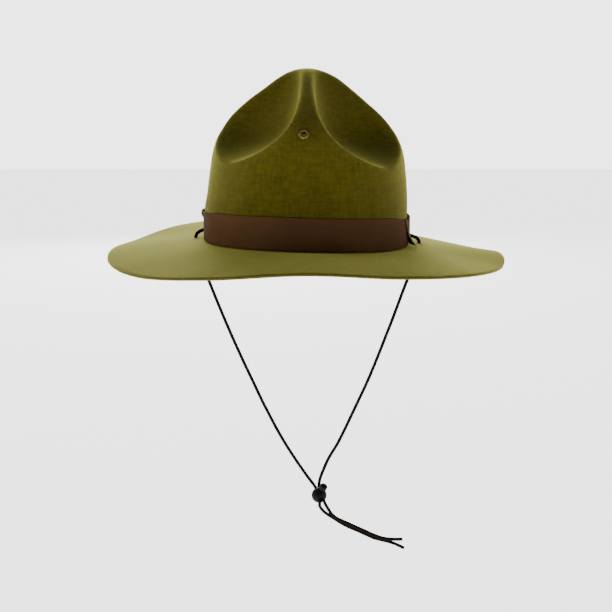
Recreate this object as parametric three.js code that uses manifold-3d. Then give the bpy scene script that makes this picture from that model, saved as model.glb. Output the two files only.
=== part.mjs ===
// A felt campaign hat with a four-dent peaked crown, a strap band, a front eyelet and a chin cord
// that hangs in a spring cord lock. Millimetres, +Z up, the wearer looks along -Y. The origin is the
// middle of the head opening, level with the foot of the band at the front.
import * as THREE from 'three';
import { mergeVertices } from 'three/addons/utils/BufferGeometryUtils.js';
import Module from 'manifold-3d';

const wasm = await Module();
wasm.setup();

// Felt, head opening and crown
const headWidth = 163.4;
const headLength = 200.4;
const feltThickness = 2;
const crownHeight = 136;
const clearance = 0.3;

// Brim: from the crown's foot to the raw edge, and how the line where it leaves the crown lies
const brimWidth = 79.7;
const breakRadius = 1.6;
const breakDepth = 1.0;
const breakSideDrop = 4.4;
const breakTilt = 2.3;
const brimBend = 1.3;

// The four dents that pinch the crown into a peak
const dentReach = 67.4;
const dentRise = 14.0;
const dentLead = 4.0;
const ridgeHalfWidth = 5.0;
const creaseSoftness = 4.0;

// Strap band: a front strap, and a rear strap whose ends lie over it
const strapHeight = 25;
const strapThickness = 1.0;
const strapLift = 1.0;
const strapSideDroop = 2.0;
const strapDroopTilt = 0.5;
const strapDroopStart = 48;
const strapDroopSpan = 26;
const frontStrapEnd = 100;
const rearStrapRightEnd = 69;
const rearStrapLeftEnd = 263.5;
const rearStrapRise = 1.0;
const rearStrapStepOff = 16;
const rightEndSlant = 9;
const rightEndFlare = 6.2;
const rightEndCurl = 3.3;
const rightEndDroop = 1.4;
const leftEndFlare = 3.6;
const leftEndDroop = 2.5;
const flareSpan = 14;

// Brass ventilation eyelet in the front ridge
const eyeletHeight = 85.6;
const eyeletSide = -1.7;
const eyeletBore = 4.0;
const eyeletFlange = 7.6;
const eyeletWall = 0.5;
const eyeletFlangeThickness = 0.7;

// Cord, and the two holes that it goes down through
const cordDiameter = 2.4;
const holeDiameter = 5.4;
const rightHoleOffset = 9.5;
const leftHoleOffset = 12.2;
const holeBearing = 94.5;
const cordHeight = 4.6;
const cordArchEnd = 106;
const cordSettled = 127;
const cordBackSpans = 18;
const cordSides = 8;

// Spring cord lock: where its ball hangs, the way its button points and the way its cord hole runs
const lockCentre = new THREE.Vector3(11.5, 1.0, -229.7);
const lockButtonWay = new THREE.Vector3(0.36, -0.36, 0.86);
const lockCordWay = new THREE.Vector3(-0.259, 0.861, 0.437);
const lockDiameter = 13.4;
const lockCordOffset = 0.8;
const lockCordSpacing = 2.7;
const lockClearance = 0.35;
const lockTravel = 2.0;
const plungerDiameter = 7.7;
const plungerFloor = 1.0;
const plungerTop = 6.1;
const plungerNeckDiameter = 4.4;
const plungerNeckLength = 1.5;
const buttonDiameter = 6.6;
const buttonLength = 4.6;

// Steps of the meshes
const columns = 72;
const wallRows = 3;
const dentRows = 18;
const breakRows = 2;
const brimRows = 5;

// Profile of the undented crown, as shares of the crown's height, half width and half length, with
// its lean to the wearer's left as a share of the half width
const crownSections = [
  { height: -0.2, side: 1.0, front: 1.0, lean: 0.0 },
  { height: 0.16, side: 1.0, front: 1.0, lean: 0.0 },
  { height: 0.27, side: 0.984, front: 0.986, lean: 0.012 },
  { height: 0.37, side: 0.966, front: 0.972, lean: 0.0165 },
  { height: 0.44, side: 0.952, front: 0.962, lean: 0.0187 },
  { height: 0.51, side: 0.931, front: 0.95, lean: 0.018 },
  { height: 0.58, side: 0.891, front: 0.926, lean: 0.0143 },
  { height: 0.65, side: 0.822, front: 0.875, lean: 0.0107 },
  { height: 0.72, side: 0.732, front: 0.79, lean: 0.004 },
  { height: 0.8, side: 0.59, front: 0.64, lean: 0.0 },
  { height: 0.88, side: 0.43, front: 0.46, lean: 0.01 },
  { height: 0.94, side: 0.302, front: 0.315, lean: 0.014 },
  { height: 0.97, side: 0.215, front: 0.22, lean: 0.009 },
  { height: 1.0, side: 0.0, front: 0.0, lean: 0.004 },
];

// Each dent: its corner of the crown, its lowest point as a share of the crown's height, and the
// half width of the ridges beside it as a share of the ordinary one
const dents = [
  { x: -1, y: -1, floor: 0.448, ridge: 0.84 },
  { x: 1, y: -1, floor: 0.424, ridge: 1.2 },
  { x: -1, y: 1, floor: 0.436, ridge: 1.0 },
  { x: 1, y: 1, floor: 0.436, ridge: 1.0 },
];

// Height of the brim's raw edge at even bearings from the front round by the wearer's left, as
// shares of the brim's width
const brimEdge = [
  { bearing: 0, rise: -0.0625 },
  { bearing: 22.5, rise: -0.126 },
  { bearing: 45, rise: -0.189 },
  { bearing: 67.5, rise: -0.229 },
  { bearing: 90, rise: -0.203 },
  { bearing: 112.5, rise: -0.263 },
  { bearing: 135, rise: -0.255 },
  { bearing: 157.5, rise: -0.177 },
  { bearing: 180, rise: -0.09 },
  { bearing: 202.5, rise: -0.0625 },
  { bearing: 225, rise: -0.087 },
  { bearing: 247.5, rise: -0.167 },
  { bearing: 270, rise: -0.166 },
  { bearing: 292.5, rise: -0.202 },
  { bearing: 315, rise: -0.204 },
  { bearing: 337.5, rise: -0.135 },
];

// How the cord arches up out of each hole: bearing past the hole in degrees, offset from the
// crown's foot as a share of the hole's, and height over the hole's mouth as a share of the cord's
const cordArch = [
  { bearing: 0, offset: 1.0, height: 0.28 },
  { bearing: 1.2, offset: 0.93, height: 0.72 },
  { bearing: 4.0, offset: 0.76, height: 1.02 },
  { bearing: 7.5, offset: 0.54, height: 1.17 },
];

// Routes of the two hanging strands between the brim and the lock, and of their free ends
const rightStrandRoute = [
  [-92.8, 8.5, -9.5], [-91.8, 8.3, -14.5], [-87.8, 8.1, -27], [-82.2, 8, -41.4], [-71.5, 8, -69.1],
  [-59.9, 8, -97.2], [-47.3, 8, -125.6], [-34.1, 8, -154.3], [-18.9, 8, -183.4], [-2.8, 8.2, -209.1],
  [4.2, 8.8, -219.4], [7.4, 8.4, -223.6],
];
const leftStrandRoute = [
  [95.6, 8.7, -14], [94.4, 8.4, -18.5], [90.6, 8.1, -28.5], [85.4, 8, -41.4], [75.6, 8, -69.1],
  [65.3, 8, -97.2], [54.4, 8, -125.6], [41.7, 8, -154.3], [28.3, 8, -183.4], [20.1, 8.4, -198],
  [15.4, 9.2, -209.1], [12.7, 9.9, -216.6], [11.6, 9.6, -221.8],
];
const rightEndRoute = [
  [12.3, -6.6, -232.9], [11.7, -7, -235.2], [12.6, -6.5, -238.2], [15.3, -5.5, -242], [19.3, -4.7, -245.6],
  [24.1, -4.1, -249], [28.8, -3.9, -252.2], [34.2, -3.9, -255.5], [40.2, -3.9, -258.5], [46.3, -3.9, -261.2],
  [53, -3.9, -264.4], [59.8, -3.9, -267.5], [66.5, -3.8, -269.4], [73.3, -3.8, -271.2],
  [80.1, -3.8, -273.8], [86.2, -3.7, -277],
];
const leftEndRoute = [
  [15.3, -6.6, -231.8], [17, -7.6, -235], [19.3, -8, -238.9], [22.3, -8, -243.6], [26.8, -7.7, -247.7],
  [32.7, -7.3, -250.7], [39.4, -7, -254], [46.1, -6.9, -257.2], [52.8, -6.8, -260.4], [59.6, -6.7, -263.7],
  [66.3, -6.4, -266.3], [73.1, -6.1, -267.6], [79.8, -5.9, -267.9], [84.5, -5.8, -267.9],
];

const halfWidth = headWidth / 2 + feltThickness;
const halfLength = headLength / 2 + feltThickness;
const cordRadius = cordDiameter / 2;
const degrees = Math.PI / 180;

// Slope of a smooth curve through a column of a table at each of its rows, never overshooting
function columnSlopes(xs, ys) {
  const last = xs.length - 1;
  const rise = [];
  for (let i = 0; i < last; i += 1) {
    rise.push((ys[i + 1] - ys[i]) / (xs[i + 1] - xs[i]));
  }
  const slopes = [rise[0]];
  for (let i = 1; i < last; i += 1) {
    const before = xs[i] - xs[i - 1];
    const after = xs[i + 1] - xs[i];
    const a = 2 * after + before;
    const b = after + 2 * before;
    const flat = rise[i - 1] * rise[i] <= 0;
    slopes.push(flat ? 0 : (a + b) / (a / rise[i - 1] + b / rise[i]));
  }
  slopes.push(rise[last - 1]);
  return slopes;
}

// A smooth curve through a column of a table, straight on past its last row
function smoothColumn(rows, key, value) {
  const xs = rows.map((row) => row[key]);
  const ys = rows.map(value);
  const slopes = columnSlopes(xs, ys);
  const last = xs.length - 1;
  return (x) => {
    if (x >= xs[last]) {
      return ys[last] + slopes[last] * (x - xs[last]);
    }
    let i = 0;
    while (i < last - 1 && x > xs[i + 1]) {
      i += 1;
    }
    const span = xs[i + 1] - xs[i];
    const t = Math.max(0, (x - xs[i]) / span);
    const low = (1 + 2 * t) * (1 - t) ** 2 * ys[i] + t * (1 - t) ** 2 * span * slopes[i];
    const high = t * t * (3 - 2 * t) * ys[i + 1] + t * t * (t - 1) * span * slopes[i + 1];
    return low + high;
  };
}

const sideSquared = smoothColumn(crownSections, 'height', (row) => (row.side * halfWidth) ** 2);
const frontSquared = smoothColumn(crownSections, 'height', (row) => (row.front * halfLength) ** 2);
const crownLean = smoothColumn(crownSections, 'height', (row) => row.lean * halfWidth);

// The larger of two values, rounded off where they are nearly equal
function softMax(a, b, softness) {
  const near = Math.max(softness - Math.abs(a - b), 0);
  return Math.max(a, b) + near * near / (4 * softness);
}

// Signed distance from the crown's outer face, measured level: below zero inside the hat
function crownField(point) {
  const side = sideSquared(point.z / crownHeight);
  const front = frontSquared(point.z / crownHeight);
  const tiny = 1e-6;
  const across = point.x - crownLean(point.z / crownHeight);
  const reach = Math.hypot(across, point.y) + tiny;
  const sine = across / reach;
  const cosine = point.y / reach;
  const oval = 1 / Math.sqrt(
    sine * sine / Math.max(Math.abs(side), tiny) + cosine * cosine / Math.max(Math.abs(front), tiny));
  let field = reach - Math.sign(side) * oval;
  const lead = Math.sqrt(Math.max(side, 0)) + dentLead;
  const centre = -softMax(-dentReach, -lead, 2 * creaseSoftness);
  for (const dent of dents) {
    const above = point.z - dent.floor * crownHeight;
    if (above > -creaseSoftness) {
      const widest = centre - dent.ridge * ridgeHalfWidth;
      const radius = widest * (1 - Math.exp(-Math.max(above, 0) / dentRise));
      const away = Math.hypot(dent.x * point.x - centre, dent.y * point.y - centre);
      field = softMax(field, radius - away + 2 * Math.min(above, 0), creaseSoftness);
    }
  }
  return field;
}

// First place where a ray from a start inside the crown meets its outer face
function crownHit(start, way) {
  const point = new THREE.Vector3();
  const field = (t) => crownField(point.copy(way).multiplyScalar(t).add(start));
  const stride = 3;
  let outer = stride;
  while (field(outer) < 0) {
    outer += stride;
  }
  let inner = outer - stride;
  const halvings = 24;
  for (let i = 0; i < halvings; i += 1) {
    const middle = (inner + outer) / 2;
    if (field(middle) < 0) {
      inner = middle;
    } else {
      outer = middle;
    }
  }
  return way.clone().multiplyScalar(inner).add(start);
}

// Height of the line where the brim leaves the crown, at a bearing from the front in radians
function breakHeight(bearing) {
  return -breakDepth - breakSideDrop * Math.sin(bearing) ** 2 - breakTilt * Math.sin(bearing);
}

// Height of the raw edge's top face, a smooth closed curve through the table
function edgeHeight(bearing) {
  const count = brimEdge.length;
  const turn = bearing / (2 * Math.PI);
  const place = (turn - Math.floor(turn)) * count;
  const i = Math.floor(place) % count;
  const t = place - Math.floor(place);
  const rise = [-1, 0, 1, 2].map((step) => brimEdge[(i + step + count) % count].rise);
  const straight = 2 * rise[1] + (rise[2] - rise[0]) * t;
  const square = (2 * rise[0] - 5 * rise[1] + 4 * rise[2] - rise[3]) * t * t;
  const cube = (3 * rise[1] - rise[0] - 3 * rise[2] + rise[3]) * t ** 3;
  return 0.5 * (straight + square + cube) * brimWidth + feltThickness / 2;
}

// Point of the crown's foot pushed out level by an offset, at a bearing from the front in radians
function footPoint(bearing, offset, height) {
  const sine = Math.sin(bearing);
  const cosine = Math.cos(bearing);
  const out = new THREE.Vector3(sine / halfWidth, -cosine / halfLength, 0).normalize();
  return new THREE.Vector3(halfWidth * sine, -halfLength * cosine, height).addScaledVector(out, offset);
}

// Top face of the brim at a bearing and at an offset from the crown's foot
function brimTop(bearing, offset) {
  const share = Math.max(0, (offset - breakRadius) / (brimWidth - breakRadius));
  const start = breakHeight(bearing);
  const height = start + (edgeHeight(bearing) - start) * share ** brimBend;
  return footPoint(bearing, offset, height);
}

// Outer face of the felt down one column, from below the peak to the raw edge
function feltColumn(bearing) {
  const foot = footPoint(bearing, 0, breakHeight(bearing) + breakRadius);
  const level = Math.hypot(foot.x, foot.y);
  const lowest = Math.atan2(foot.z, level);
  const dentStart = 0.3;
  const shares = [];
  for (let i = 1; i <= dentRows; i += 1) {
    shares.push(1 - (1 - dentStart) * i / dentRows);
  }
  for (let i = 1; i <= wallRows; i += 1) {
    shares.push(dentStart * (1 - i / wallRows));
  }
  const points = shares.map((share) => {
    const climb = lowest + (Math.PI / 2 - lowest) * share;
    const flat = Math.cos(climb) / level;
    return crownHit(new THREE.Vector3(), new THREE.Vector3(foot.x * flat, foot.y * flat, Math.sin(climb)));
  });
  for (let i = 1; i <= breakRows; i += 1) {
    const turn = 90 * degrees * i / breakRows;
    const height = breakHeight(bearing) + breakRadius * (1 - Math.sin(turn));
    points.push(footPoint(bearing, breakRadius * (1 - Math.cos(turn)), height));
  }
  for (let i = 1; i <= brimRows; i += 1) {
    points.push(brimTop(bearing, breakRadius + (brimWidth - breakRadius) * i / brimRows));
  }
  return points;
}

// A mesh from points and triangles
function meshGeometry(points, triangles) {
  const geometry = new THREE.BufferGeometry();
  geometry.setAttribute('position', new THREE.Float32BufferAttribute(points.flatMap((p) => p.toArray()), 3));
  geometry.setIndex(triangles);
  geometry.computeVertexNormals();
  return geometry;
}

// The whole felt: an outer skin, an inner one a thickness behind it, and the raw edge between them
function feltGeometry() {
  const grid = [];
  for (let j = 0; j < columns; j += 1) {
    grid.push(feltColumn(2 * Math.PI * j / columns));
  }
  const rows = grid[0].length;
  const peak = crownHit(new THREE.Vector3(), new THREE.Vector3(0, 0, 1));
  const inner = grid.map((column, j) => column.map((point, i) => {
    const above = i === 0 ? peak : column[i - 1];
    const below = i === rows - 1 ? point : column[i + 1];
    const down = below.clone().sub(above);
    const across = grid[(j + 1) % columns][i].clone().sub(grid[(j + columns - 1) % columns][i]);
    const normal = down.cross(across).normalize();
    return point.clone().addScaledVector(normal, -feltThickness);
  }));
  const innerPeak = peak.clone().setZ(peak.z - feltThickness);
  const points = [...grid.flat(), ...inner.flat(), peak, innerPeak];
  const outerAt = (i, j) => (j % columns) * rows + i;
  const innerAt = (i, j) => columns * rows + outerAt(i, j);
  const triangles = [];
  for (let j = 0; j < columns; j += 1) {
    triangles.push(points.length - 2, outerAt(0, j), outerAt(0, j + 1));
    triangles.push(points.length - 1, innerAt(0, j + 1), innerAt(0, j));
    for (let i = 0; i < rows - 1; i += 1) {
      triangles.push(outerAt(i, j), outerAt(i + 1, j), outerAt(i + 1, j + 1));
      triangles.push(outerAt(i, j), outerAt(i + 1, j + 1), outerAt(i, j + 1));
      triangles.push(innerAt(i, j), innerAt(i + 1, j + 1), innerAt(i + 1, j));
      triangles.push(innerAt(i, j), innerAt(i, j + 1), innerAt(i + 1, j + 1));
    }
    triangles.push(outerAt(rows - 1, j), innerAt(rows - 1, j), innerAt(rows - 1, j + 1));
    triangles.push(outerAt(rows - 1, j), innerAt(rows - 1, j + 1), outerAt(rows - 1, j + 1));
  }
  return meshGeometry(points, triangles);
}

// A closed mesh as a solid for joining and cutting
function toSolid(geometry) {
  const plain = geometry.clone();
  plain.deleteAttribute('normal');
  plain.deleteAttribute('uv');
  const merged = mergeVertices(plain, 1e-4);
  return new wasm.Manifold(new wasm.Mesh({
    numProp: 3,
    vertProperties: new Float32Array(merged.attributes.position.array),
    triVerts: new Uint32Array(merged.index.array),
  }));
}

// A solid back as a mesh
function toGeometry(solid) {
  const mesh = solid.getMesh();
  const geometry = new THREE.BufferGeometry();
  geometry.setAttribute('position', new THREE.BufferAttribute(new Float32Array(mesh.vertProperties), 3));
  geometry.setIndex(new THREE.BufferAttribute(new Uint32Array(mesh.triVerts), 1));
  geometry.computeVertexNormals();
  return geometry;
}

// A round bar between two distances along an axis from a centre
function bar(centre, axis, diameter, from, to, sides) {
  const geometry = new THREE.CylinderGeometry(diameter / 2, diameter / 2, to - from, sides);
  const turn = new THREE.Quaternion().setFromUnitVectors(new THREE.Vector3(0, 1, 0), axis);
  geometry.applyQuaternion(turn);
  const middle = centre.clone().addScaledVector(axis, (from + to) / 2);
  return geometry.translate(middle.x, middle.y, middle.z);
}

// Seat of the eyelet on the front ridge, and the way the felt faces there
function eyeletSeat() {
  const bearing = Math.asin(eyeletSide / halfLength);
  const way = (turn) => new THREE.Vector3(Math.sin(turn), -Math.cos(turn), 0);
  const at = (height, turn) => crownHit(new THREE.Vector3(0, 0, height), way(turn));
  const reach = eyeletFlange / 2;
  const up = at(eyeletHeight + reach, bearing).sub(at(eyeletHeight - reach, bearing));
  const swing = reach / halfLength;
  const across = at(eyeletHeight, bearing + swing).sub(at(eyeletHeight, bearing - swing));
  return { point: at(eyeletHeight, bearing), normal: across.cross(up).normalize() };
}

const seat = eyeletSeat();
const holes = [
  { side: -1, offset: rightHoleOffset, bearing: -holeBearing * degrees },
  { side: 1, offset: leftHoleOffset, bearing: holeBearing * degrees },
].map((hole) => ({ ...hole, top: brimTop(hole.bearing, hole.offset) }));

// Crown and brim, pierced for the eyelet and for the cord
function feltBody() {
  const sides = 16;
  const through = 3 * feltThickness;
  const barrel = eyeletBore + 2 * eyeletWall + 2 * clearance;
  let solid = toSolid(feltGeometry());
  solid = solid.subtract(toSolid(bar(seat.point, seat.normal, barrel, -through, through, sides)));
  for (const hole of holes) {
    const up = new THREE.Vector3(0, 0, 1);
    solid = solid.subtract(toSolid(bar(hole.top, up, holeDiameter, -through, through, sides)));
  }
  return toGeometry(solid);
}

// A thin strip: each station is a pair of edges, outer and inner, with the same number of points
function stripGeometry(stations) {
  const levels = stations[0].outer.length;
  const points = stations.flatMap((station) => [...station.outer, ...station.inner]);
  const outerAt = (i, k) => i * 2 * levels + k;
  const innerAt = (i, k) => i * 2 * levels + levels + k;
  const triangles = [];
  const quad = (a, b, c, d) => triangles.push(a, b, c, a, c, d);
  const last = stations.length - 1;
  for (let i = 0; i < last; i += 1) {
    for (let k = 0; k < levels - 1; k += 1) {
      quad(outerAt(i, k), outerAt(i + 1, k), outerAt(i + 1, k + 1), outerAt(i, k + 1));
      quad(innerAt(i, k), innerAt(i, k + 1), innerAt(i + 1, k + 1), innerAt(i + 1, k));
    }
    quad(outerAt(i, 0), innerAt(i, 0), innerAt(i + 1, 0), outerAt(i + 1, 0));
    quad(outerAt(i, levels - 1), outerAt(i + 1, levels - 1), innerAt(i + 1, levels - 1), innerAt(i, levels - 1));
  }
  for (let k = 0; k < levels - 1; k += 1) {
    quad(outerAt(0, k), outerAt(0, k + 1), innerAt(0, k + 1), innerAt(0, k));
    quad(outerAt(last, k), innerAt(last, k), innerAt(last, k + 1), outerAt(last, k + 1));
  }
  return meshGeometry(points, triangles);
}

// How far the straps' top edge droops towards the sides, at a bearing in degrees
function strapDroop(degree) {
  const round = ((degree + 180) % 360) - 180;
  const tilted = strapSideDroop + strapDroopTilt * Math.sin(degree * degrees);
  return tilted * ease((Math.abs(round) - strapDroopStart) / strapDroopSpan);
}

// A strap round the crown between two bearings in degrees, with its offset and rise at each place
// and how far each place is shifted round
function strapGeometry(from, to, offsetAt, heightAt, shiftAt) {
  const levels = 4;
  const count = Math.round((to - from) / 360 * columns);
  const stations = [];
  for (let i = 0; i <= count; i += 1) {
    const degree = from + (to - from) * i / count;
    const edge = (extra) => Array.from({ length: levels }, (_, k) => {
      const share = k / (levels - 1);
      const bearing = (degree + shiftAt(degree, share)) * degrees;
      const level = breakHeight(bearing) + strapLift + share * (strapHeight - strapDroop(degree));
      return footPoint(bearing, clearance + offsetAt(degree, share) + extra, level + heightAt(degree, share));
    });
    stations.push({ outer: edge(strapThickness), inner: edge(0) });
  }
  return stripGeometry(stations);
}

// A smooth step from 0 to 1
function ease(value) {
  return THREE.MathUtils.smoothstep(value, 0, 1);
}

// How near a place on the rear strap is to its end at the wearer's left, and at the wearer's right
function nearRightEnd(degree) {
  return ease(1 - (degree - rearStrapRightEnd) / flareSpan);
}

function nearLeftEnd(degree) {
  return ease(1 - (rearStrapLeftEnd - degree) / flareSpan);
}

// How far the rear strap stands off: over the front strap at both ends, on the felt behind
function rearStrapOffset(degree, share) {
  const over = strapThickness + clearance;
  const ends = frontStrapEnd + rearStrapStepOff;
  const right = ease((ends - degree) / rearStrapStepOff);
  const left = ease((degree - (360 - ends)) / rearStrapStepOff);
  const rightFlare = rightEndFlare * nearRightEnd(degree) * (1 - share) ** rightEndCurl;
  const leftFlare = leftEndFlare * nearLeftEnd(degree) * ease((share - 0.5) / 0.4) * (1 - 0.4 * share ** 4);
  return over * Math.max(right, left) + rightFlare + leftFlare;
}

// How far the rear strap is raised, less the droop of its flared ends
function rearStrapHeight(degree, share) {
  return rearStrapRise - rightEndDroop * nearRightEnd(degree) - leftEndDroop * nearLeftEnd(degree) * share;
}

// How far round the rear strap's slanting right end is shifted, in degrees
function rearStrapShift(degree, share) {
  return rightEndSlant * nearRightEnd(degree) * (1 - share);
}

// The brass eyelet: a barrel through the felt with a flange turned over on both faces
function eyeletGeometry() {
  const bore = eyeletBore / 2;
  const flange = eyeletFlange / 2;
  const outside = clearance;
  const inside = -feltThickness - clearance;
  const rim = 0.25;
  const outline = [
    [bore, inside - eyeletFlangeThickness + rim], [bore + rim, inside - eyeletFlangeThickness],
    [flange - rim, inside - eyeletFlangeThickness], [flange, inside - rim], [flange - rim, inside],
    [bore + eyeletWall, inside], [bore + eyeletWall, outside], [flange - rim, outside],
    [flange, outside + rim], [flange - rim, outside + eyeletFlangeThickness],
    [bore + rim, outside + eyeletFlangeThickness], [bore, outside + eyeletFlangeThickness - rim],
    [bore, inside - eyeletFlangeThickness + rim],
  ].map(([x, y]) => new THREE.Vector2(x, y));
  const segments = 16;
  const geometry = new THREE.LatheGeometry(outline, segments);
  geometry.applyQuaternion(new THREE.Quaternion().setFromUnitVectors(new THREE.Vector3(0, 1, 0), seat.normal));
  return geometry.translate(seat.point.x, seat.point.y, seat.point.z);
}

// A smooth curve whose even steps fall on its chosen points
class RouteCurve extends THREE.CatmullRomCurve3 {
  getPointAt(share, target) {
    return this.getPoint(share, target);
  }

  getTangentAt(share, target) {
    return this.getTangent(share, target);
  }
}

// A round cord along a smooth curve through points
function cordGeometry(points) {
  const section = new THREE.Shape();
  for (let i = 0; i < cordSides; i += 1) {
    const turn = 2 * Math.PI * i / cordSides;
    const corner = new THREE.Vector2(cordRadius * Math.cos(turn), cordRadius * Math.sin(turn));
    if (i === 0) {
      section.moveTo(corner.x, corner.y);
    } else {
      section.lineTo(corner.x, corner.y);
    }
  }
  section.closePath();
  const path = new RouteCurve(points);
  return new THREE.ExtrudeGeometry(section, { steps: points.length - 1, bevelEnabled: false, extrudePath: path });
}

// Where a strand ends and the back stretch begins, half way through the felt at a hole
function holeMiddle(hole, side) {
  const middle = hole.top.z - feltThickness / 2;
  return new THREE.Vector3(hole.top.x, hole.top.y, middle + side * clearance / 2);
}

// The stretch that goes round the back of the crown, over the rear strap, and down into both holes
function cordBackPoints() {
  const overBoth = 2 * (clearance + strapThickness) + clearance + cordRadius;
  const overOne = overBoth - strapThickness - clearance;
  const route = [];
  for (let i = 0; i <= cordBackSpans; i += 1) {
    const degree = cordArchEnd + (360 - 2 * cordArchEnd) * i / cordBackSpans;
    const settle = cordSettled - cordArchEnd;
    const ends = ease((cordSettled - degree) / settle) + ease((degree - 360 + cordSettled) / settle);
    const offset = overOne + (overBoth - overOne) * ends;
    const bearing = degree * degrees;
    route.push(footPoint(bearing, offset, breakHeight(bearing) + cordHeight));
  }
  const arch = (hole) => [
    holeMiddle(hole, 1),
    ...cordArch.map((row) => {
      const bearing = hole.side * (holeBearing + row.bearing) * degrees;
      return footPoint(bearing, row.offset * hole.offset, hole.top.z + row.height * cordHeight);
    }),
  ];
  return [...arch(holes[1]), ...route, ...arch(holes[0]).reverse()];
}

const toVectors = (route) => route.map(([x, y, z]) => new THREE.Vector3(x, y, z));

// The lock's own frame: along its button, along its cord hole and across both
const buttonWay = lockButtonWay.clone().normalize();
const cordWay = lockCordWay.clone().addScaledVector(buttonWay, -lockCordWay.dot(buttonWay)).normalize();
const acrossWay = buttonWay.clone().cross(cordWay);
const lockPoint = (across, along, up) => lockCentre.clone().addScaledVector(acrossWay, across)
  .addScaledVector(cordWay, along).addScaledVector(buttonWay, up);

// One hanging strand: out of its hole, down to the lock, straight through it and on to its free end
function strandPoints(hole, route, end, side) {
  const across = side * lockCordSpacing / 2;
  const inLock = [0.5, 0.17, -0.17, -0.5].map(
    (share) => lockPoint(across, share * lockDiameter, lockCordOffset));
  return [holeMiddle(hole, -1), ...toVectors(route), ...inLock, ...toVectors(end)];
}

// A block in the lock's frame, given by its sizes and by how far up its middle is
function lockBlock(along, across, up, middle) {
  const geometry = new THREE.BoxGeometry(along, across, up);
  const turn = new THREE.Matrix4().makeBasis(cordWay, acrossWay, buttonWay);
  geometry.applyMatrix4(turn);
  const centre = lockPoint(0, 0, middle);
  return geometry.translate(centre.x, centre.y, centre.z);
}

const slotWidth = lockCordSpacing + cordDiameter + 2 * lockClearance;
const slotHeight = cordDiameter + 2 * lockClearance;
const slotLength = 2 * lockDiameter;

// The ball: a pocket for the plunger, open at the top, and a slot for the two cords
function barrelGeometry() {
  const ball = new THREE.SphereGeometry(lockDiameter / 2, 20, 14);
  ball.applyQuaternion(new THREE.Quaternion().setFromUnitVectors(new THREE.Vector3(0, 1, 0), buttonWay));
  ball.translate(lockCentre.x, lockCentre.y, lockCentre.z);
  const pocketFloor = lockCordOffset - slotHeight / 2 - plungerFloor - lockTravel - lockClearance;
  const pocketDiameter = plungerDiameter + 2 * clearance;
  const pocket = bar(lockCentre, buttonWay, pocketDiameter, pocketFloor, lockDiameter, 24);
  const slot = lockBlock(slotLength, slotWidth, slotHeight, lockCordOffset);
  return toGeometry(toSolid(ball).subtract(toSolid(pocket)).subtract(toSolid(slot)));
}

// The plunger: a slotted body in the ball's pocket, a neck and a round button
function plungerGeometry() {
  const floor = lockCordOffset - slotHeight / 2 - plungerFloor;
  const body = bar(lockCentre, buttonWay, plungerDiameter, floor, plungerTop, 24);
  const buttonStart = plungerTop + plungerNeckLength;
  const overlap = 0.5;
  const neck = bar(lockCentre, buttonWay, plungerNeckDiameter, plungerTop - overlap, buttonStart + overlap, 16);
  const edge = 0.6;
  const radius = buttonDiameter / 2;
  const outline = [
    [0, 0], [radius - edge, 0], [radius, edge], [radius, buttonLength - edge],
    [radius - edge, buttonLength], [0, buttonLength],
  ].map(([x, y]) => new THREE.Vector2(x, y));
  const button = new THREE.LatheGeometry(outline, 20);
  button.applyQuaternion(new THREE.Quaternion().setFromUnitVectors(new THREE.Vector3(0, 1, 0), buttonWay));
  const start = lockPoint(0, 0, buttonStart);
  button.translate(start.x, start.y, start.z);
  const opening = slotHeight + lockTravel;
  const slot = lockBlock(slotLength, slotWidth, opening, lockCordOffset - slotHeight / 2 + opening / 2);
  return toGeometry(toSolid(body).add(toSolid(neck)).add(toSolid(button)).subtract(toSolid(slot)));
}

const felt = new THREE.MeshStandardMaterial({ color: 0x6b6124, roughness: 0.95, metalness: 0 });
const leather = new THREE.MeshStandardMaterial({ color: 0x402818, roughness: 0.5, metalness: 0 });
const brass = new THREE.MeshStandardMaterial({ color: 0xb08d45, roughness: 0.35, metalness: 1 });
const braid = new THREE.MeshStandardMaterial({ color: 0x100a08, roughness: 0.9, metalness: 0 });
const plastic = new THREE.MeshStandardMaterial({ color: 0x101010, roughness: 0.55, metalness: 0 });

const hat = new THREE.Group();
function addPiece(name, geometry, material) {
  const piece = new THREE.Mesh(geometry, material);
  piece.name = name;
  hat.add(piece);
}

addPiece('felt_body', feltBody(), felt);
const level = () => 0;
const frontStrap = strapGeometry(-frontStrapEnd, frontStrapEnd, level, level, level);
const rearStrap = strapGeometry(
  rearStrapRightEnd, rearStrapLeftEnd, rearStrapOffset, rearStrapHeight, rearStrapShift);
addPiece('band_front', frontStrap, leather);
addPiece('band_rear', rearStrap, leather);
addPiece('front_eyelet', eyeletGeometry(), brass);
addPiece('cord_back', cordGeometry(cordBackPoints()), braid);
addPiece('cord_right', cordGeometry(strandPoints(holes[0], rightStrandRoute, rightEndRoute, 1)), braid);
addPiece('cord_left', cordGeometry(strandPoints(holes[1], leftStrandRoute, leftEndRoute, -1)), braid);
addPiece('lock_barrel', barrelGeometry(), plastic);
addPiece('lock_plunger', plungerGeometry(), plastic);

export default hat;
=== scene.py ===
"""A felt campaign hat with its strap band, eyelet and chin cord, dressed for rendering.

Lengths are in metres, +Z is up and the wearer looks along -Y. Bearings run from the front of the
hat round by the wearer's left.
"""

import logging
import math
from dataclasses import dataclass, field
from enum import Enum
from itertools import product
from typing import Any, Mapping, Sequence

import bmesh
import bpy
import numpy as np
from mathutils import Matrix, Vector


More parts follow.
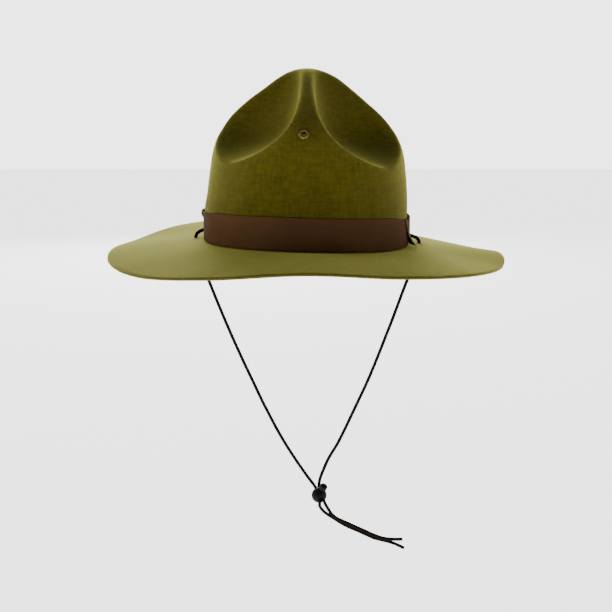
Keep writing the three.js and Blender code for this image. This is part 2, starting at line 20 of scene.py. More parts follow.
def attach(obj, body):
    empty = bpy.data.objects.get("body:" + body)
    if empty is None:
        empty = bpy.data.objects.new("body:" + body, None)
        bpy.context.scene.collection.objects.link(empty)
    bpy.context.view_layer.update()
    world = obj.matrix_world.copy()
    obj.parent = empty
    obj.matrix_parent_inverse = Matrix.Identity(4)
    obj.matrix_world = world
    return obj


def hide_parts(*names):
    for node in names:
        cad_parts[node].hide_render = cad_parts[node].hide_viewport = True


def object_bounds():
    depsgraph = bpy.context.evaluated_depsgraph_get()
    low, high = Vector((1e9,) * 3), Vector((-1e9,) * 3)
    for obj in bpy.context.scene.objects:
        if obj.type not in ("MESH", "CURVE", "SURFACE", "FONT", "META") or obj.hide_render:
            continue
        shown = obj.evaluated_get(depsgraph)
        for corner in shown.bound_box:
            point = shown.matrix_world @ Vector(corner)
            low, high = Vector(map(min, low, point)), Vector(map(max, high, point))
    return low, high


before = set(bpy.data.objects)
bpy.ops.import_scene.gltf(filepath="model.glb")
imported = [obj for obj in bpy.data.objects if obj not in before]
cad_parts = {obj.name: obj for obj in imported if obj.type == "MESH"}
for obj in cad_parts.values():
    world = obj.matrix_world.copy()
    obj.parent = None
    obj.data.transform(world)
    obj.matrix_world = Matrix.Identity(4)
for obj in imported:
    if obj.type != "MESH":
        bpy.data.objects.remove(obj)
CAD_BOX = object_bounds()

LOG = logging.getLogger("hat")
Array = np.ndarray
Colour = tuple[float, float, float]
Point = tuple[float, float, float]
Contrast = tuple[float, float]  # The gain and the loss of Signal.stretched
Outline = list[tuple[float, float]]
Settings = Mapping[str, Any] | None
Inputs = Mapping[Any, Any] | None
HAT = "hat"
BUTTON = "button"
CLEARANCE = 0.0003
TINY = 1e-12


class Side(Enum):
    """A side of the hat, as the sign of its x."""

    RIGHT = -1
    LEFT = 1


class Run(Enum):
    """One of the two lengths of strap that make the band."""

    FRONT = "band_front"
    REAR = "band_rear"


class Twist(Enum):
    """Which way a yarn of the braid winds round the cord."""

    CLOCKWISE = 1
    ANTICLOCKWISE = -1


def srgb(red: int, green: int, blue: int) -> Colour:
    """Turn a colour of three 8-bit screen values into linear light.

    Args:
        red: Red, 0 to 255.
        green: Green, 0 to 255.
        blue: Blue, 0 to 255.

    Returns:
        The colour as three linear values.
    """
    shares = (red / 255, green / 255, blue / 255)
    return tuple(c / 12.92 if c <= 0.04045 else ((c + 0.055) / 1.055) ** 2.4 for c in shares)


def ease(value: Array | float) -> Array | float:
    """Step smoothly from 0 to 1."""
    share = np.clip(value, 0.0, 1.0)
    return share * share * (3 - 2 * share)


def soft_max(first: Array, second: Array, softness: float) -> Array:
    """Take the larger of two values, rounded off where they are nearly equal.

    Args:
        first: One value.
        second: The other value.
        softness: How near they are when the rounding starts.

    Returns:
        The rounded larger value.
    """
    near = np.maximum(softness - np.abs(first - second), 0)
    return np.maximum(first, second) + near * near / (4 * softness)


class SmoothColumn:
    """A smooth curve through a table's column that never overshoots, straight past its last row."""

    def __init__(self, places: Sequence[float], values: Sequence[float]) -> None:
        """Fit the curve.

        Args:
            places: Where each row stands, rising.
            values: The value at each row.
        """
        self.places = np.array(places, float)
        self.values = np.array(values, float)
        span = np.diff(self.places)
        rise = np.diff(self.values) / span
        first = 2 * span[1:] + span[:-1]
        second = span[1:] + 2 * span[:-1]
        product = rise[:-1] * rise[1:]
        safe = np.where(product > 0, rise[:-1], 1.0), np.where(product > 0, rise[1:], 1.0)
        mean = (first + second) / (first / safe[0] + second / safe[1])
        middle = np.where(product > 0, mean, 0.0)
        self.slopes = np.concatenate([rise[:1], middle, rise[-1:]])

    def __call__(self, place: Array) -> Array:
        """Read the curve.

        Args:
            place: Where to read it.

        Returns:
            The curve's values there.
        """
        i = np.clip(np.searchsorted(self.places, place) - 1, 0, len(self.places) - 2)
        span = self.places[i + 1] - self.places[i]
        t = np.clip((place - self.places[i]) / span, 0, 1)
        lower, upper = self.slopes[i], self.slopes[i + 1]
        low = (1 + 2 * t) * (1 - t) ** 2 * self.values[i] + t * (1 - t) ** 2 * span * lower
        high = t * t * (3 - 2 * t) * self.values[i + 1] + t * t * (t - 1) * span * upper
        past = np.maximum(place - self.places[-1], 0) * self.slopes[-1]
        return low + high + past


@dataclass(frozen=True)
class Dent:
    """One of the four dents.

    Its corner as the signs of x and y, its lowest point as a share of the crown's height, and its
    ridge's half width as a share of the plain one.
    """

    x: int
    y: int
    floor: float
    ridge: float


@dataclass(frozen=True)
class HatForm:
    """The form that every piece of the hat follows: crown, dents and brim."""

    head_width: float = 0.1634
    head_length: float = 0.2004
    felt: float = 0.002
    crown_height: float = 0.136
    brim_width: float = 0.0797
    break_radius: float = 0.0016
    break_depth: float = 0.001
    break_side_drop: float = 0.0044
    break_tilt: float = 0.0023
    brim_bend: float = 1.3
    dent_reach: float = 0.0674
    dent_rise: float = 0.014
    dent_lead: float = 0.004
    ridge_half_width: float = 0.005
    softness: float = 0.004
    crease_reach: float = 3.0
    peak_softening: float = 1.1
    softening_start: float = 0.093
    softening_span: float = 0.032
    march_step: float = 0.002
    march_steps: int = 90
    halvings: int = 20
    # Height, half width, half length and lean towards the wearer's left, all as shares
    sections: tuple[tuple[float, float, float, float], ...] = (
        (-0.2, 1.0, 1.0, 0.0), (0.16, 1.0, 1.0, 0.0), (0.27, 0.984, 0.986, 0.012),
        (0.37, 0.966, 0.972, 0.0165), (0.44, 0.952, 0.962, 0.0187), (0.51, 0.931, 0.95, 0.018),
        (0.58, 0.891, 0.926, 0.0143), (0.65, 0.822, 0.875, 0.0107), (0.72, 0.732, 0.79, 0.004),
        (0.8, 0.59, 0.64, 0.0), (0.88, 0.43, 0.46, 0.01), (0.94, 0.302, 0.315, 0.014),
        (0.97, 0.215, 0.22, 0.009), (1.0, 0.0, 0.0, 0.004),
    )
    dents: tuple[Dent, ...] = (
        Dent(-1, -1, 0.448, 0.84), Dent(1, -1, 0.424, 1.2),
        Dent(-1, 1, 0.436, 1.0), Dent(1, 1, 0.436, 1.0),
    )
    # The raw edge's rise as a share of the brim's width, at even bearings from the front
    brim_edge: tuple[float, ...] = (
        -0.0625, -0.126, -0.189, -0.229, -0.203, -0.263, -0.255, -0.177,
        -0.09, -0.0625, -0.087, -0.167, -0.166, -0.202, -0.204, -0.135,
    )

    @property
    def half_width(self) -> float:
        """Half the crown's outer width at its foot."""
        return self.head_width / 2 + self.felt

    @property
    def half_length(self) -> float:
        """Half the crown's outer length at its foot."""
        return self.head_length / 2 + self.felt

    def _oval(self, z: Array) -> tuple[Array, Array, Array]:
        """Measure the undented crown's level section.

        Args:
            z: The heights.

        Returns:
            The squared half widths, the squared half lengths and the leans.
        """
        heights = [row[0] for row in self.sections]
        side = SmoothColumn(heights, [(row[1] * self.half_width) ** 2 for row in self.sections])
        front = SmoothColumn(heights, [(row[2] * self.half_length) ** 2 for row in self.sections])
        lean = SmoothColumn(heights, [row[3] * self.half_width for row in self.sections])
        level = z / self.crown_height
        return side(level), front(level), lean(level)

    def field(self, points: Array) -> tuple[Array, Array]:
        """Measure how far points are from the crown's outer face, and how near a crease they are.

        Args:
            points: Points, the last axis x, y and z.

        Returns:
            The level distance, below zero inside, and the crease's share from 0 to 1.
        """
        x, y, z = points[..., 0], points[..., 1], points[..., 2]
        side, front, lean = self._oval(z)
        reach = np.hypot(x - lean, y) + TINY
        sine, cosine = (x - lean) / reach, y / reach
        wide, long = np.maximum(abs(side), TINY), np.maximum(abs(front), TINY)
        value = reach - np.sign(side) / np.sqrt(sine**2 / wide + cosine**2 / long)
        crease = np.zeros_like(value)
        lead = np.sqrt(np.maximum(side, 0)) + self.dent_lead
        centre = -soft_max(np.full_like(lead, -self.dent_reach), -lead, 2 * self.softness)
        softer = 1 + self.peak_softening * ease((z - self.softening_start) / self.softening_span)
        for dent in self.dents:
            above = z - dent.floor * self.crown_height
            widest = centre - dent.ridge * self.ridge_half_width
            radius = widest * (1 - np.exp(-np.maximum(above, 0) / self.dent_rise))
            away = np.hypot(dent.x * x - centre, dent.y * y - centre)
            scoop = radius - away + 2 * np.minimum(above, 0)
            scoop = np.where(above > -self.softness, scoop, -1.0)
            reached = np.abs(value - scoop) / (self.crease_reach * self.softness)
            nearness = np.clip(1 - reached, 0, 1)
            at_face = np.clip(1 + np.maximum(value, scoop) / self.softness, 0, 1)
            crease = np.maximum(crease, nearness * at_face)
            value = soft_max(value, scoop, self.softness * softer)
        return value, crease

    def crown_hit(self, start: Array, way: Array) -> Array:
        """Find where rays from inside the crown first meet its outer face.

        Args:
            start: Where the rays start.
            way: Their unit directions.

        Returns:
            The points that they meet.
        """
        inner = np.zeros(way.shape[:-1])
        moving = np.ones(way.shape[:-1], bool)
        for _ in range(self.march_steps):
            ahead = self.field(start + way * (inner + self.march_step)[..., None])[0]
            moving &= ahead < 0
            inner = np.where(moving, inner + self.march_step, inner)
            if not moving.any():
                break
        outer = inner + self.march_step
        for _ in range(self.halvings):
            middle = (inner + outer) / 2
            inside = self.field(start + way * middle[..., None])[0] < 0
            inner = np.where(inside, middle, inner)
            outer = np.where(inside, outer, middle)
        return start + way * inner[..., None]

    def break_height(self, bearing: Array) -> Array:
        """Height of the line where the brim leaves the crown, at bearings in radians."""
        sine = np.sin(bearing)
        return -self.break_depth - self.break_side_drop * sine**2 - self.break_tilt * sine

    def edge_height(self, bearing: Array) -> Array:
        """Find the height of the raw edge's top face, a smooth closed curve.

        Args:
            bearing: Bearings from the front in radians.

        Returns:
            The heights.
        """
        rises = np.array(self.brim_edge)
        place = np.mod(bearing / (2 * math.pi), 1.0) * len(rises)
        i = np.floor(place).astype(int) % len(rises)
        t = place - np.floor(place)
        before, here, after, later = (rises[(i + step) % len(rises)] for step in (-1, 0, 1, 2))
        value = 2 * here + (after - before) * t
        value = value + (2 * before - 5 * here + 4 * after - later) * t**2
        value = value + (3 * here - before - 3 * after + later) * t**3
        return 0.5 * value * self.brim_width + self.felt / 2

    def foot(self, bearing: Array, offset: Array, height: Array) -> Array:
        """Push the crown's foot out level by an offset.

        Args:
            bearing: Bearings from the front in radians.
            offset: How far out, in metres.
            height: The points' height.

        Returns:
            The points.
        """
        sine, cosine = np.sin(bearing), np.cos(bearing)
        out_x, out_y = sine / self.half_width, -cosine / self.half_length
        size = np.hypot(out_x, out_y)
        x = self.half_width * sine + offset * out_x / size
        y = -self.half_length * cosine + offset * out_y / size
        return np.stack(np.broadcast_arrays(x, y, height), axis=-1)

    def brim_top(self, bearing: Array, offset: Array) -> Array:
        """Find points of the brim's top face.

        Args:
            bearing: Bearings from the front in radians.
            offset: Offsets from the crown's foot.

        Returns:
            The points.
        """
        share = np.maximum(0, (offset - self.break_radius) / (self.brim_width - self.break_radius))
        start = self.break_height(bearing)
        height = start + (self.edge_height(bearing) - start) * share**self.brim_bend
        return self.foot(bearing, offset, height)


FORM = HatForm()


class Signal:
    """A shader socket that takes part in Python arithmetic."""

    def __init__(self, graph: "ShaderGraph", socket: bpy.types.NodeSocket) -> None:
        """Wrap a socket of a graph."""
        self.graph = graph
        self.socket = socket

    def _maths(self, operation: str, first: Any, second: Any = 0.0,
               clamp: bool = False) -> "Signal":
        """Add one Math node and give back its result."""
        settings = {"operation": operation, "use_clamp": clamp}
        return self.graph.node("ShaderNodeMath", settings, {0: first, 1: second})

    def __add__(self, other: Any) -> "Signal":
        """Add."""
        return self._maths("ADD", self, other)

    __radd__ = __add__

    def __sub__(self, other: Any) -> "Signal":
        """Take away."""
        return self._maths("SUBTRACT", self, other)

    def __rsub__(self, other: Any) -> "Signal":
        """Be taken away."""
        return self._maths("SUBTRACT", other, self)

    def __mul__(self, other: Any) -> "Signal":
        """Multiply."""
        return self._maths("MULTIPLY", self, other)

    __rmul__ = __mul__

    def __truediv__(self, other: Any) -> "Signal":
        """Divide."""
        return self._maths("DIVIDE", self, other)

    def __rtruediv__(self, other: Any) -> "Signal":
        """Be divided by."""
        return self._maths("DIVIDE", other, self)

    def __pow__(self, other: Any) -> "Signal":
        """Raise to a power."""
        return self._maths("POWER", self, other)

    def clamped(self) -> "Signal":
        """Keep between 0 and 1."""
        return self._maths("ADD", self, 0.0, clamp=True)

    def stretched(self, gain: float, loss: float) -> "Signal":
        """Raise the contrast: multiply, take away, and keep between 0 and 1."""
        return (self * gain - loss).clamped()


def add_node(tree: bpy.types.NodeTree, kind: str, settings: Settings,
             inputs: Inputs) -> bpy.types.Node:
    """Add a node to a tree.

    Args:
        tree: The node tree.
        kind: The node's type.
        settings: Its own settings, set first.
        inputs: Values, signals or sockets for its sockets, by name or number.

    Returns:
        The node.
    """
    made = tree.nodes.new(kind)
    for key, value in (settings or {}).items():
        setattr(made, key, value)
    for key, value in (inputs or {}).items():
        source = value.socket if isinstance(value, Signal) else value
        if isinstance(source, bpy.types.NodeSocket):
            tree.links.new(source, made.inputs[key])
        else:
            made.inputs[key].default_value = source
    return made


class ShaderGraph:
    """A node graph of a material or of the world, built by code."""

    def __init__(self, name: str, world: bool = False) -> None:
        """Start an empty graph.

        Args:
            name: The material's or world's name.
            world: Whether it is a world's.
        """
        self.owner = (bpy.data.worlds if world else bpy.data.materials).new(name)
        self.owner.use_nodes = True
        self.tree = self.owner.node_tree
        self.tree.nodes.clear()

    def node(self, kind: str, settings: Settings = None, inputs: Inputs = None,
             output: Any = 0) -> Signal:
        """Add a node and give back one of its outputs."""
        return Signal(self, add_node(self.tree, kind, settings, inputs).outputs[output])

    def place(self) -> Signal:
        """Object coordinates."""
        return self.node("ShaderNodeTexCoord", output="Object")

    def away(self, point: Sequence[float]) -> Signal:
        """How far a place is from a point, in metres."""
        inputs = {0: self.place(), 1: tuple(float(c) for c in point)}
        return self.node("ShaderNodeVectorMath", {"operation": "DISTANCE"}, inputs, "Value")

    def attribute(self, name: str) -> Signal:
        """A number stored on the mesh."""
        return self.node("ShaderNodeAttribute", {"attribute_name": name}, output="Fac")

    def scaled(self, scale: Point) -> Signal:
        """Object coordinates stretched along the axes."""
        return self.node("ShaderNodeMapping", inputs={"Vector": self.place(), "Scale": scale})

    def noise(self, where: Signal, scale: float, detail: float = 2.0,
              roughness: float = 0.5) -> Signal:
        """Noise at some coordinates, about 0.5.

        Args:
            where: The coordinates.
            scale: How many waves to a metre.
            detail: How many octaves.
            roughness: How strong the finer octaves are.

        Returns:
            The noise's value.
        """
        sockets = {"Vector": where, "Scale": scale, "Detail": detail, "Roughness": roughness}
        return self.node("ShaderNodeTexNoise", inputs=sockets, output="Fac")

    def mix(self, share: Any, first: Any, second: Any) -> Signal:
        """Mix two colours.

        Args:
            share: How much of the second.
            first: A colour or a signal.
            second: A colour or a signal.

        Returns:
            The mixed colour.
        """
        sockets = {0: share, 6: self._colour(first), 7: self._colour(second)}
        return self.node("ShaderNodeMix", {"data_type": "RGBA"}, sockets, output=2)

    @staticmethod
    def _colour(value: Any) -> Any:
        """Give a plain colour its alpha."""
        return value if isinstance(value, Signal) else (*value, 1.0)

    def bump(self, height: Signal, distance: float, strength: float) -> Signal:
        """Turn a height from 0 to 1 into a bumped normal.

        Args:
            height: The height's signal.
            distance: What a height of 1 stands for, in metres.
            strength: How much of it shows.

        Returns:
            The normal.
        """
        sockets = {"Strength": strength, "Distance": distance, "Height": height}
        return self.node("ShaderNodeBump", inputs=sockets)

    def finish(self, **sockets: Any) -> bpy.types.Material:
        """Close the graph with a Principled shader.

        Args:
            **sockets: Values or signals for its sockets, with _ for a space.

        Returns:
            The finished material.
        """
        inputs = {}
        for name, value in sockets.items():
            plain = isinstance(value, tuple) and len(value) == 3
            inputs[name.replace("_", " ")] = (*value, 1.0) if plain else value
        surface = self.node("ShaderNodeBsdfPrincipled", inputs=inputs)
        self._close("ShaderNodeOutputMaterial", surface)
        return self.owner

    def shine(self, strength: Signal) -> bpy.types.World:
        """Close the graph with a white background of a varying strength.

        Args:
            strength: How bright it is each way.

        Returns:
            The finished world.
        """
        inputs = {"Color": (1, 1, 1, 1), "Strength": strength}
        surface = self.node("ShaderNodeBackground", inputs=inputs)
        self._close("ShaderNodeOutputWorld", surface)
        return self.owner

    def _close(self, kind: str, surface: Signal) -> None:
        """Join a surface to the graph's output node."""
        end = self.tree.nodes.new(kind)
        self.tree.links.new(surface.socket, end.inputs["Surface"])


@dataclass(frozen=True)
class FeltFinish:
    """Olive wool felt with a brushed nap, paler where it is creased or cut. Along the creases the
    paler tone is partly worn nap and partly painted sheen highlight; round the cord holes a
    near-white ring is partly raw cut felt and partly painted highlight.
    """

    body: Colour = srgb(82, 75, 8)
    shade: Colour = srgb(56, 51, 3)
    crease: Colour = srgb(108, 100, 36)
    # Near-white ring round each cord hole: partly raw cut felt, partly a painted highlight on the
    # lit rim
    raw_rim_and_highlight: Colour = srgb(240, 228, 158)
    edge: Colour = srgb(84, 76, 24)
    streak: float = 540.0
    upright_stretch: Point = (1.0, 1.0, 0.16)
    level_stretch: Point = (0.2, 0.2, 1.0)
    streak_octaves: float = 3.0
    streak_roughness: float = 0.6
    streak_contrast: Contrast = (3.0, 1.0)
    cloud: float = 22.0
    cloud_contrast: Contrast = (1.6, 0.5)
    cloud_share: float = 0.25
    nap: float = 2600.0
    nap_roughness: float = 0.7
    nap_share: float = 0.35
    # Crease mark: worn nap with a painted sheen highlight along the creases
    wear_and_sheen_contrast: Contrast = (1.6, 0.3)
    wear_and_sheen_share: float = 0.6
    edge_share: float = 0.6
    rim_width: float = 0.0022
    rim_gain: float = 1.6
    rim_share: float = 0.9
    roughness: float = 0.95
    gloss: float = 0.1
    sheen: float = 0.74
    sheen_roughness: float = 0.35
    sheen_tint: Colour = srgb(248, 245, 122)
    relief: float = 0.0005
    relief_share: float = 0.5

    def material(self, holes: Sequence[Array], radius: float) -> bpy.types.Material:
        """Make the felt's material.

        Args:
            holes: The middles of the cord holes' mouths.
            radius: The holes' radius.

        Returns:
            The material.
        """
        graph = ShaderGraph("wool_felt")
        detail = self.streak_octaves, self.streak_roughness
        upright, level = (
            graph.noise(graph.scaled(stretch), self.streak, *detail)
            for stretch in (self.upright_stretch, self.level_stretch))
        cloud = graph.noise(graph.place(), self.cloud)
        nap = graph.noise(graph.place(), self.nap, roughness=self.nap_roughness)
        weave = upright * 0.5 + level * 0.5
        colour = graph.mix(weave.stretched(*self.streak_contrast), self.shade, self.body)
        clouded = cloud.stretched(*self.cloud_contrast) * self.cloud_share
        colour = graph.mix(clouded, colour, self.crease)
        # Paler along the creases: partly worn nap, partly painted sheen highlight
        worn_and_sheen = graph.attribute("crease") * weave.stretched(*self.wear_and_sheen_contrast)
        colour = graph.mix(worn_and_sheen * self.wear_and_sheen_share, colour, self.crease)
        colour = graph.mix(graph.attribute("edge") * self.edge_share, colour, self.edge)
        height = nap * self.nap_share + weave * (1 - self.nap_share)
        for hole in holes:
            # Painted highlight on each hole's lit rim, over its raw cut felt; the ring is also
            # raised a little
            raw_rim_and_highlight = (1 - (graph.away(hole) - radius) / self.rim_width).clamped()
            painted_rim_highlight = (raw_rim_and_highlight * self.rim_gain).clamped() * self.rim_share
            colour = graph.mix(painted_rim_highlight, colour, self.raw_rim_and_highlight)
            height = height + raw_rim_and_highlight
        return graph.finish(
            Base_Color=colour, Roughness=self.roughness, Specular_IOR_Level=self.gloss,
            Sheen_Weight=self.sheen, Sheen_Roughness=self.sheen_roughness,
            Sheen_Tint=self.sheen_tint,
            Normal=graph.bump(height, self.relief, self.relief_share),
        )


@dataclass(frozen=True)
class LeatherFinish:
    """Dark brown strap leather, faintly grained. Its top and bottom edges are darker, partly the
    rolled edge's own colour and partly painted shade; its cut ends are paler, partly the raw
    backing and partly painted highlight.
    """

    body: Colour = srgb(86, 60, 38)
    shade: Colour = srgb(75, 51, 32)
    # Darker top and bottom edges: partly the rolled edge's own colour, partly painted shade
    edge: Colour = srgb(50, 28, 12)
    # Paler cut ends: partly the raw backing, partly a painted highlight on the lit end
    raw_end_and_highlight: Colour = srgb(178, 150, 122)
    grain: float = 1500.0
    grain_smoothness: float = 0.6
    grain_share: float = 0.25
    cloud: float = 60.0
    cloud_stretch: Point = (0.5, 0.5, 1.0)
    cloud_octaves: float = 3.0
    cloud_contrast: Contrast = (1.8, 0.4)
    ripple: float = 160.0
    ripple_stretch: Point = (0.18, 0.18, 1.0)
    edge_share: float = 0.8
    roughness: float = 0.6
    rougher: float = 0.16
    gloss: float = 0.01
    relief: float = 0.0004
    relief_share: float = 0.6

    def material(self) -> bpy.types.Material:
        """Make the strap's material.

        Returns:
            The material.
        """
        graph = ShaderGraph("strap_leather")
        sockets = {
            "Vector": graph.place(), "Scale": self.grain, "Smoothness": self.grain_smoothness}
        cells = graph.node("ShaderNodeTexVoronoi", {"feature": "SMOOTH_F1"}, sockets, "Distance")
        cloud = graph.noise(graph.scaled(self.cloud_stretch), self.cloud, self.cloud_octaves)
        ripple = graph.noise(graph.scaled(self.ripple_stretch), self.ripple)
        colour = graph.mix(cloud.stretched(*self.cloud_contrast), self.shade, self.body)
        # Darker along the top and bottom edges: partly the rolled edge's colour, partly painted
        # shade
        colour = graph.mix(graph.attribute("edge") * self.edge_share, colour, self.edge)
        # Paler at the cut ends: partly the raw backing, partly painted highlight
        colour = graph.mix(graph.attribute("raw_end_and_highlight"), colour, self.raw_end_and_highlight)
        height = cells * self.grain_share + ripple * (1 - self.grain_share)
        return graph.finish(
            Base_Color=colour, Roughness=cloud * self.rougher + self.roughness,
            Specular_IOR_Level=self.gloss,
            Normal=graph.bump(height, self.relief, self.relief_share),
        )


@dataclass(frozen=True)
class BrassFinish:
    """Satin brass, browned a little in random patches."""

    bright: Colour = srgb(225, 195, 115)
    tarnish: Colour = srgb(150, 118, 60)
    # Near-black bore: painted shade for the dark hole
    bore: Colour = srgb(14, 9, 4)
    cloud: float = 700.0
    cloud_octaves: float = 3.0
    cloud_roughness: float = 0.6
    cloud_contrast: Contrast = (2.0, 0.6)
    tarnish_share: float = 0.6
    scratch: float = 2400.0
    scratch_stretch: Point = (1.0, 1.0, 6.0)
    roughness: float = 0.26
    rougher: float = 0.2
    bore_rougher: float = 0.6
    gloss: float = 0.05
    relief: float = 0.00006
    relief_share: float = 0.4

    def material(self) -> bpy.types.Material:
        """Make the eyelet's material.

        Returns:
            The material.
        """
        graph = ShaderGraph("eyelet_brass")
        cloud = graph.noise(
            graph.place(), self.cloud, self.cloud_octaves, self.cloud_roughness)
        scratch = graph.noise(graph.scaled(self.scratch_stretch), self.scratch)
        browned = cloud.stretched(*self.cloud_contrast) * self.tarnish_share
        colour = graph.mix(browned, self.bright, self.tarnish)
        # The bore's inner face is painted near-black and made matt, not metal: painted shade for
        # the dark hole
        inside = graph.attribute("bore")
        roughness = cloud * self.rougher + self.roughness + inside * self.bore_rougher
        return graph.finish(
            Base_Color=graph.mix(inside, colour, self.bore), Metallic=1 - inside,
            Roughness=roughness.clamped(), Specular_IOR_Level=self.gloss,
            Normal=graph.bump(scratch, self.relief, self.relief_share),
        )


@dataclass(frozen=True)
class CordFinish:
    """Black polyester yarn with a faint brown cast."""

    body: Colour = srgb(13, 9, 7)
    light: Colour = srgb(36, 27, 21)
    fibre: float = 5200.0
    fibre_roughness: float = 0.6
    fibre_share: float = 1.4
    cloud: float = 260.0
    cloud_share: float = 0.6
    loss: float = 0.75
    roughness: float = 0.85
    gloss: float = 0.06
    sheen: float = 0.04
    sheen_roughness: float = 0.4
    sheen_tint: Colour = srgb(200, 170, 160)
    relief: float = 0.0001
    relief_share: float = 0.5

    def material(self) -> bpy.types.Material:
        """Make the cord's material.

        Returns:
            The material.
        """
        graph = ShaderGraph("braided_yarn")
        fibre = graph.noise(graph.place(), self.fibre, roughness=self.fibre_roughness)
        cloud = graph.noise(graph.place(), self.cloud)
        lit = fibre * self.fibre_share + cloud * self.cloud_share - self.loss
        return graph.finish(
            Base_Color=graph.mix(lit.clamped(), self.body, self.light),
            Roughness=self.roughness, Specular_IOR_Level=self.gloss,
            Sheen_Weight=self.sheen, Sheen_Roughness=self.sheen_roughness,
            Sheen_Tint=self.sheen_tint,
            Normal=graph.bump(fibre, self.relief, self.relief_share),
        )


@dataclass(frozen=True)
class PlasticFinish:
    """Black moulded plastic, matt from the mould's fine spark grain."""

    body: Colour = srgb(12, 12, 13)
    light: Colour = srgb(22, 21, 21)
    grain: float = 6500.0
    grain_roughness: float = 0.6
    cloud: float = 350.0
    cloud_octaves: float = 3.0
    cloud_contrast: Contrast = (1.6, 0.4)
    roughness: float = 0.4
    rougher: float = 0.2
    gloss: float = 0.06
    relief: float = 0.00004
    relief_share: float = 0.4

    def material(self) -> bpy.types.Material:
        """Make the cord lock's material.

        Returns:
            The material.
        """
        graph = ShaderGraph("moulded_plastic")
        grain = graph.noise(graph.place(), self.grain, roughness=self.grain_roughness)
        cloud = graph.noise(graph.place(), self.cloud, self.cloud_octaves)
        colour = graph.mix(cloud.stretched(*self.cloud_contrast), self.body, self.light)
        return graph.finish(
            Base_Color=colour, Roughness=cloud * self.rougher + self.roughness,
            Specular_IOR_Level=self.gloss,
            Normal=graph.bump(grain, self.relief, self.relief_share),
        )


@dataclass(frozen=True)
class FloorFinish:
    """Plain pale studio floor."""

    body: Colour = (0.9, 0.9, 0.9)
    matt: Colour = (0.6, 0.6, 0.6)
    roughness: float = 0.9
    gloss: float = 0.1
    glow: float = 3.05

    def material(self) -> bpy.types.Material:
        """Make the floor's material.

        Returns:
            The material.
        """
        graph = ShaderGraph("studio_floor")
        return graph.finish(
            Base_Color=self.matt, Roughness=self.roughness, Specular_IOR_Level=self.gloss,
            Emission_Color=self.body, Emission_Strength=self.glow)


class GeometryTree:
    """A Geometry Nodes tree, built by code, that makes one plain mesh."""

    def __init__(self, name: str) -> None:
        """Start a tree with one geometry input and one geometry output.

        Args:
            name: The tree's name.
        """
        self.tree = bpy.data.node_groups.new(name, "GeometryNodeTree")
        self.interface = self.tree.interface
        self.interface.new_socket("Geometry", in_out="INPUT", socket_type="NodeSocketGeometry")
        self.interface.new_socket("Geometry", in_out="OUTPUT", socket_type="NodeSocketGeometry")
        self.values: dict[str, float] = {}

    def size(self, name: str, value: float) -> None:
        """Add a named input and its value."""
        self.interface.new_socket(name, in_out="INPUT", socket_type="NodeSocketFloat")
        self.values[name] = value

    def start(self) -> None:
        """Make the input node, once every named input is there."""
        self.entry = self.tree.nodes.new("NodeGroupInput")

    def get(self, name: str) -> bpy.types.NodeSocket:
        """The socket of a named input."""
        return self.entry.outputs[name]

    def node(self, kind: str, settings: Settings = None, inputs: Inputs = None,
             output: Any = 0) -> bpy.types.NodeSocket:
        """Add a node and give back one of its outputs."""
        return add_node(self.tree, kind, settings, inputs).outputs[output]

    def maths(self, operation: str, first: Any, second: Any = 0.0) -> bpy.types.NodeSocket:
        """Add one Math node."""
        return self.node("ShaderNodeMath", {"operation": operation}, {0: first, 1: second})

    def vector(self, operation: str, first: Any, second: Any) -> bpy.types.NodeSocket:
        """Add one Vector Math node, whose second input is a vector or, to scale, a number."""
        key = "Scale" if operation == "SCALE" else 1
        return self.node("ShaderNodeVectorMath", {"operation": operation}, {0: first, key: second})

    def ring(self, sides: int, radius: bpy.types.NodeSocket) -> bpy.types.NodeSocket:
        """Add a ring to sweep along a line."""
        inputs = {"Resolution": sides, "Radius": radius}
        return self.node("GeometryNodeCurvePrimitiveCircle", None, inputs)

    def tube(self, line: bpy.types.NodeSocket, ring: bpy.types.NodeSocket) -> bpy.types.NodeSocket:
        """Sweep a ring along a line, with closed ends."""
        inputs = {"Curve": line, "Profile Curve": ring, "Fill Caps": True}
        return self.node("GeometryNodeCurveToMesh", inputs=inputs)

    def join(self, parts: Sequence[bpy.types.NodeSocket]) -> bpy.types.NodeSocket:
        """Join several geometries.

        Args:
            parts: The geometries.

        Returns:
            The joined geometry.
        """
        made = self.tree.nodes.new("GeometryNodeJoinGeometry")
        for part in parts:
            self.tree.links.new(part, made.inputs[0])
        return made.outputs[0]

    def close(self, result: bpy.types.NodeSocket, material: bpy.types.Material) -> None:
        """End the tree: instances made real, then the material.

        Args:
            result: The geometry to give out.
            material: What it is made of.
        """
        real = self.node("GeometryNodeRealizeInstances", inputs={0: result})
        inputs = {"Geometry": real, "Material": material}
        dressed = self.node("GeometryNodeSetMaterial", inputs=inputs)
        exit_node = self.tree.nodes.new("NodeGroupOutput")
        self.tree.links.new(dressed, exit_node.inputs[0])

    def run(self, source: bpy.types.Object, name: str) -> bpy.types.Object:
        """Run the tree on an object and keep its result as a plain mesh.

        Args:
            source: The curve or mesh that the tree starts from, which is removed.
            name: The new piece's name.

        Returns:
            The new piece.
        """
        modifier = source.modifiers.new("tree", "NODES")
        modifier.node_group = self.tree
        for item in self.interface.items_tree:
            if item.item_type == "SOCKET" and item.in_out == "INPUT" and item.name in self.values:
                modifier[item.identifier] = self.values[item.name]
        mesh = result_of(source)
        source.modifiers.remove(modifier)
        bpy.data.objects.remove(source)
        mesh.name = name
        return add_object(name, mesh)


def result_of(piece: bpy.types.Object) -> bpy.types.Mesh:
    """Work out what a piece's modifiers make of it.

    Args:
        piece: The piece, with its modifiers live.

    Returns:
        The result as a plain mesh.
    """
    bpy.context.view_layer.update()
    evaluated = piece.evaluated_get(bpy.context.evaluated_depsgraph_get())
    return bpy.data.meshes.new_from_object(evaluated)


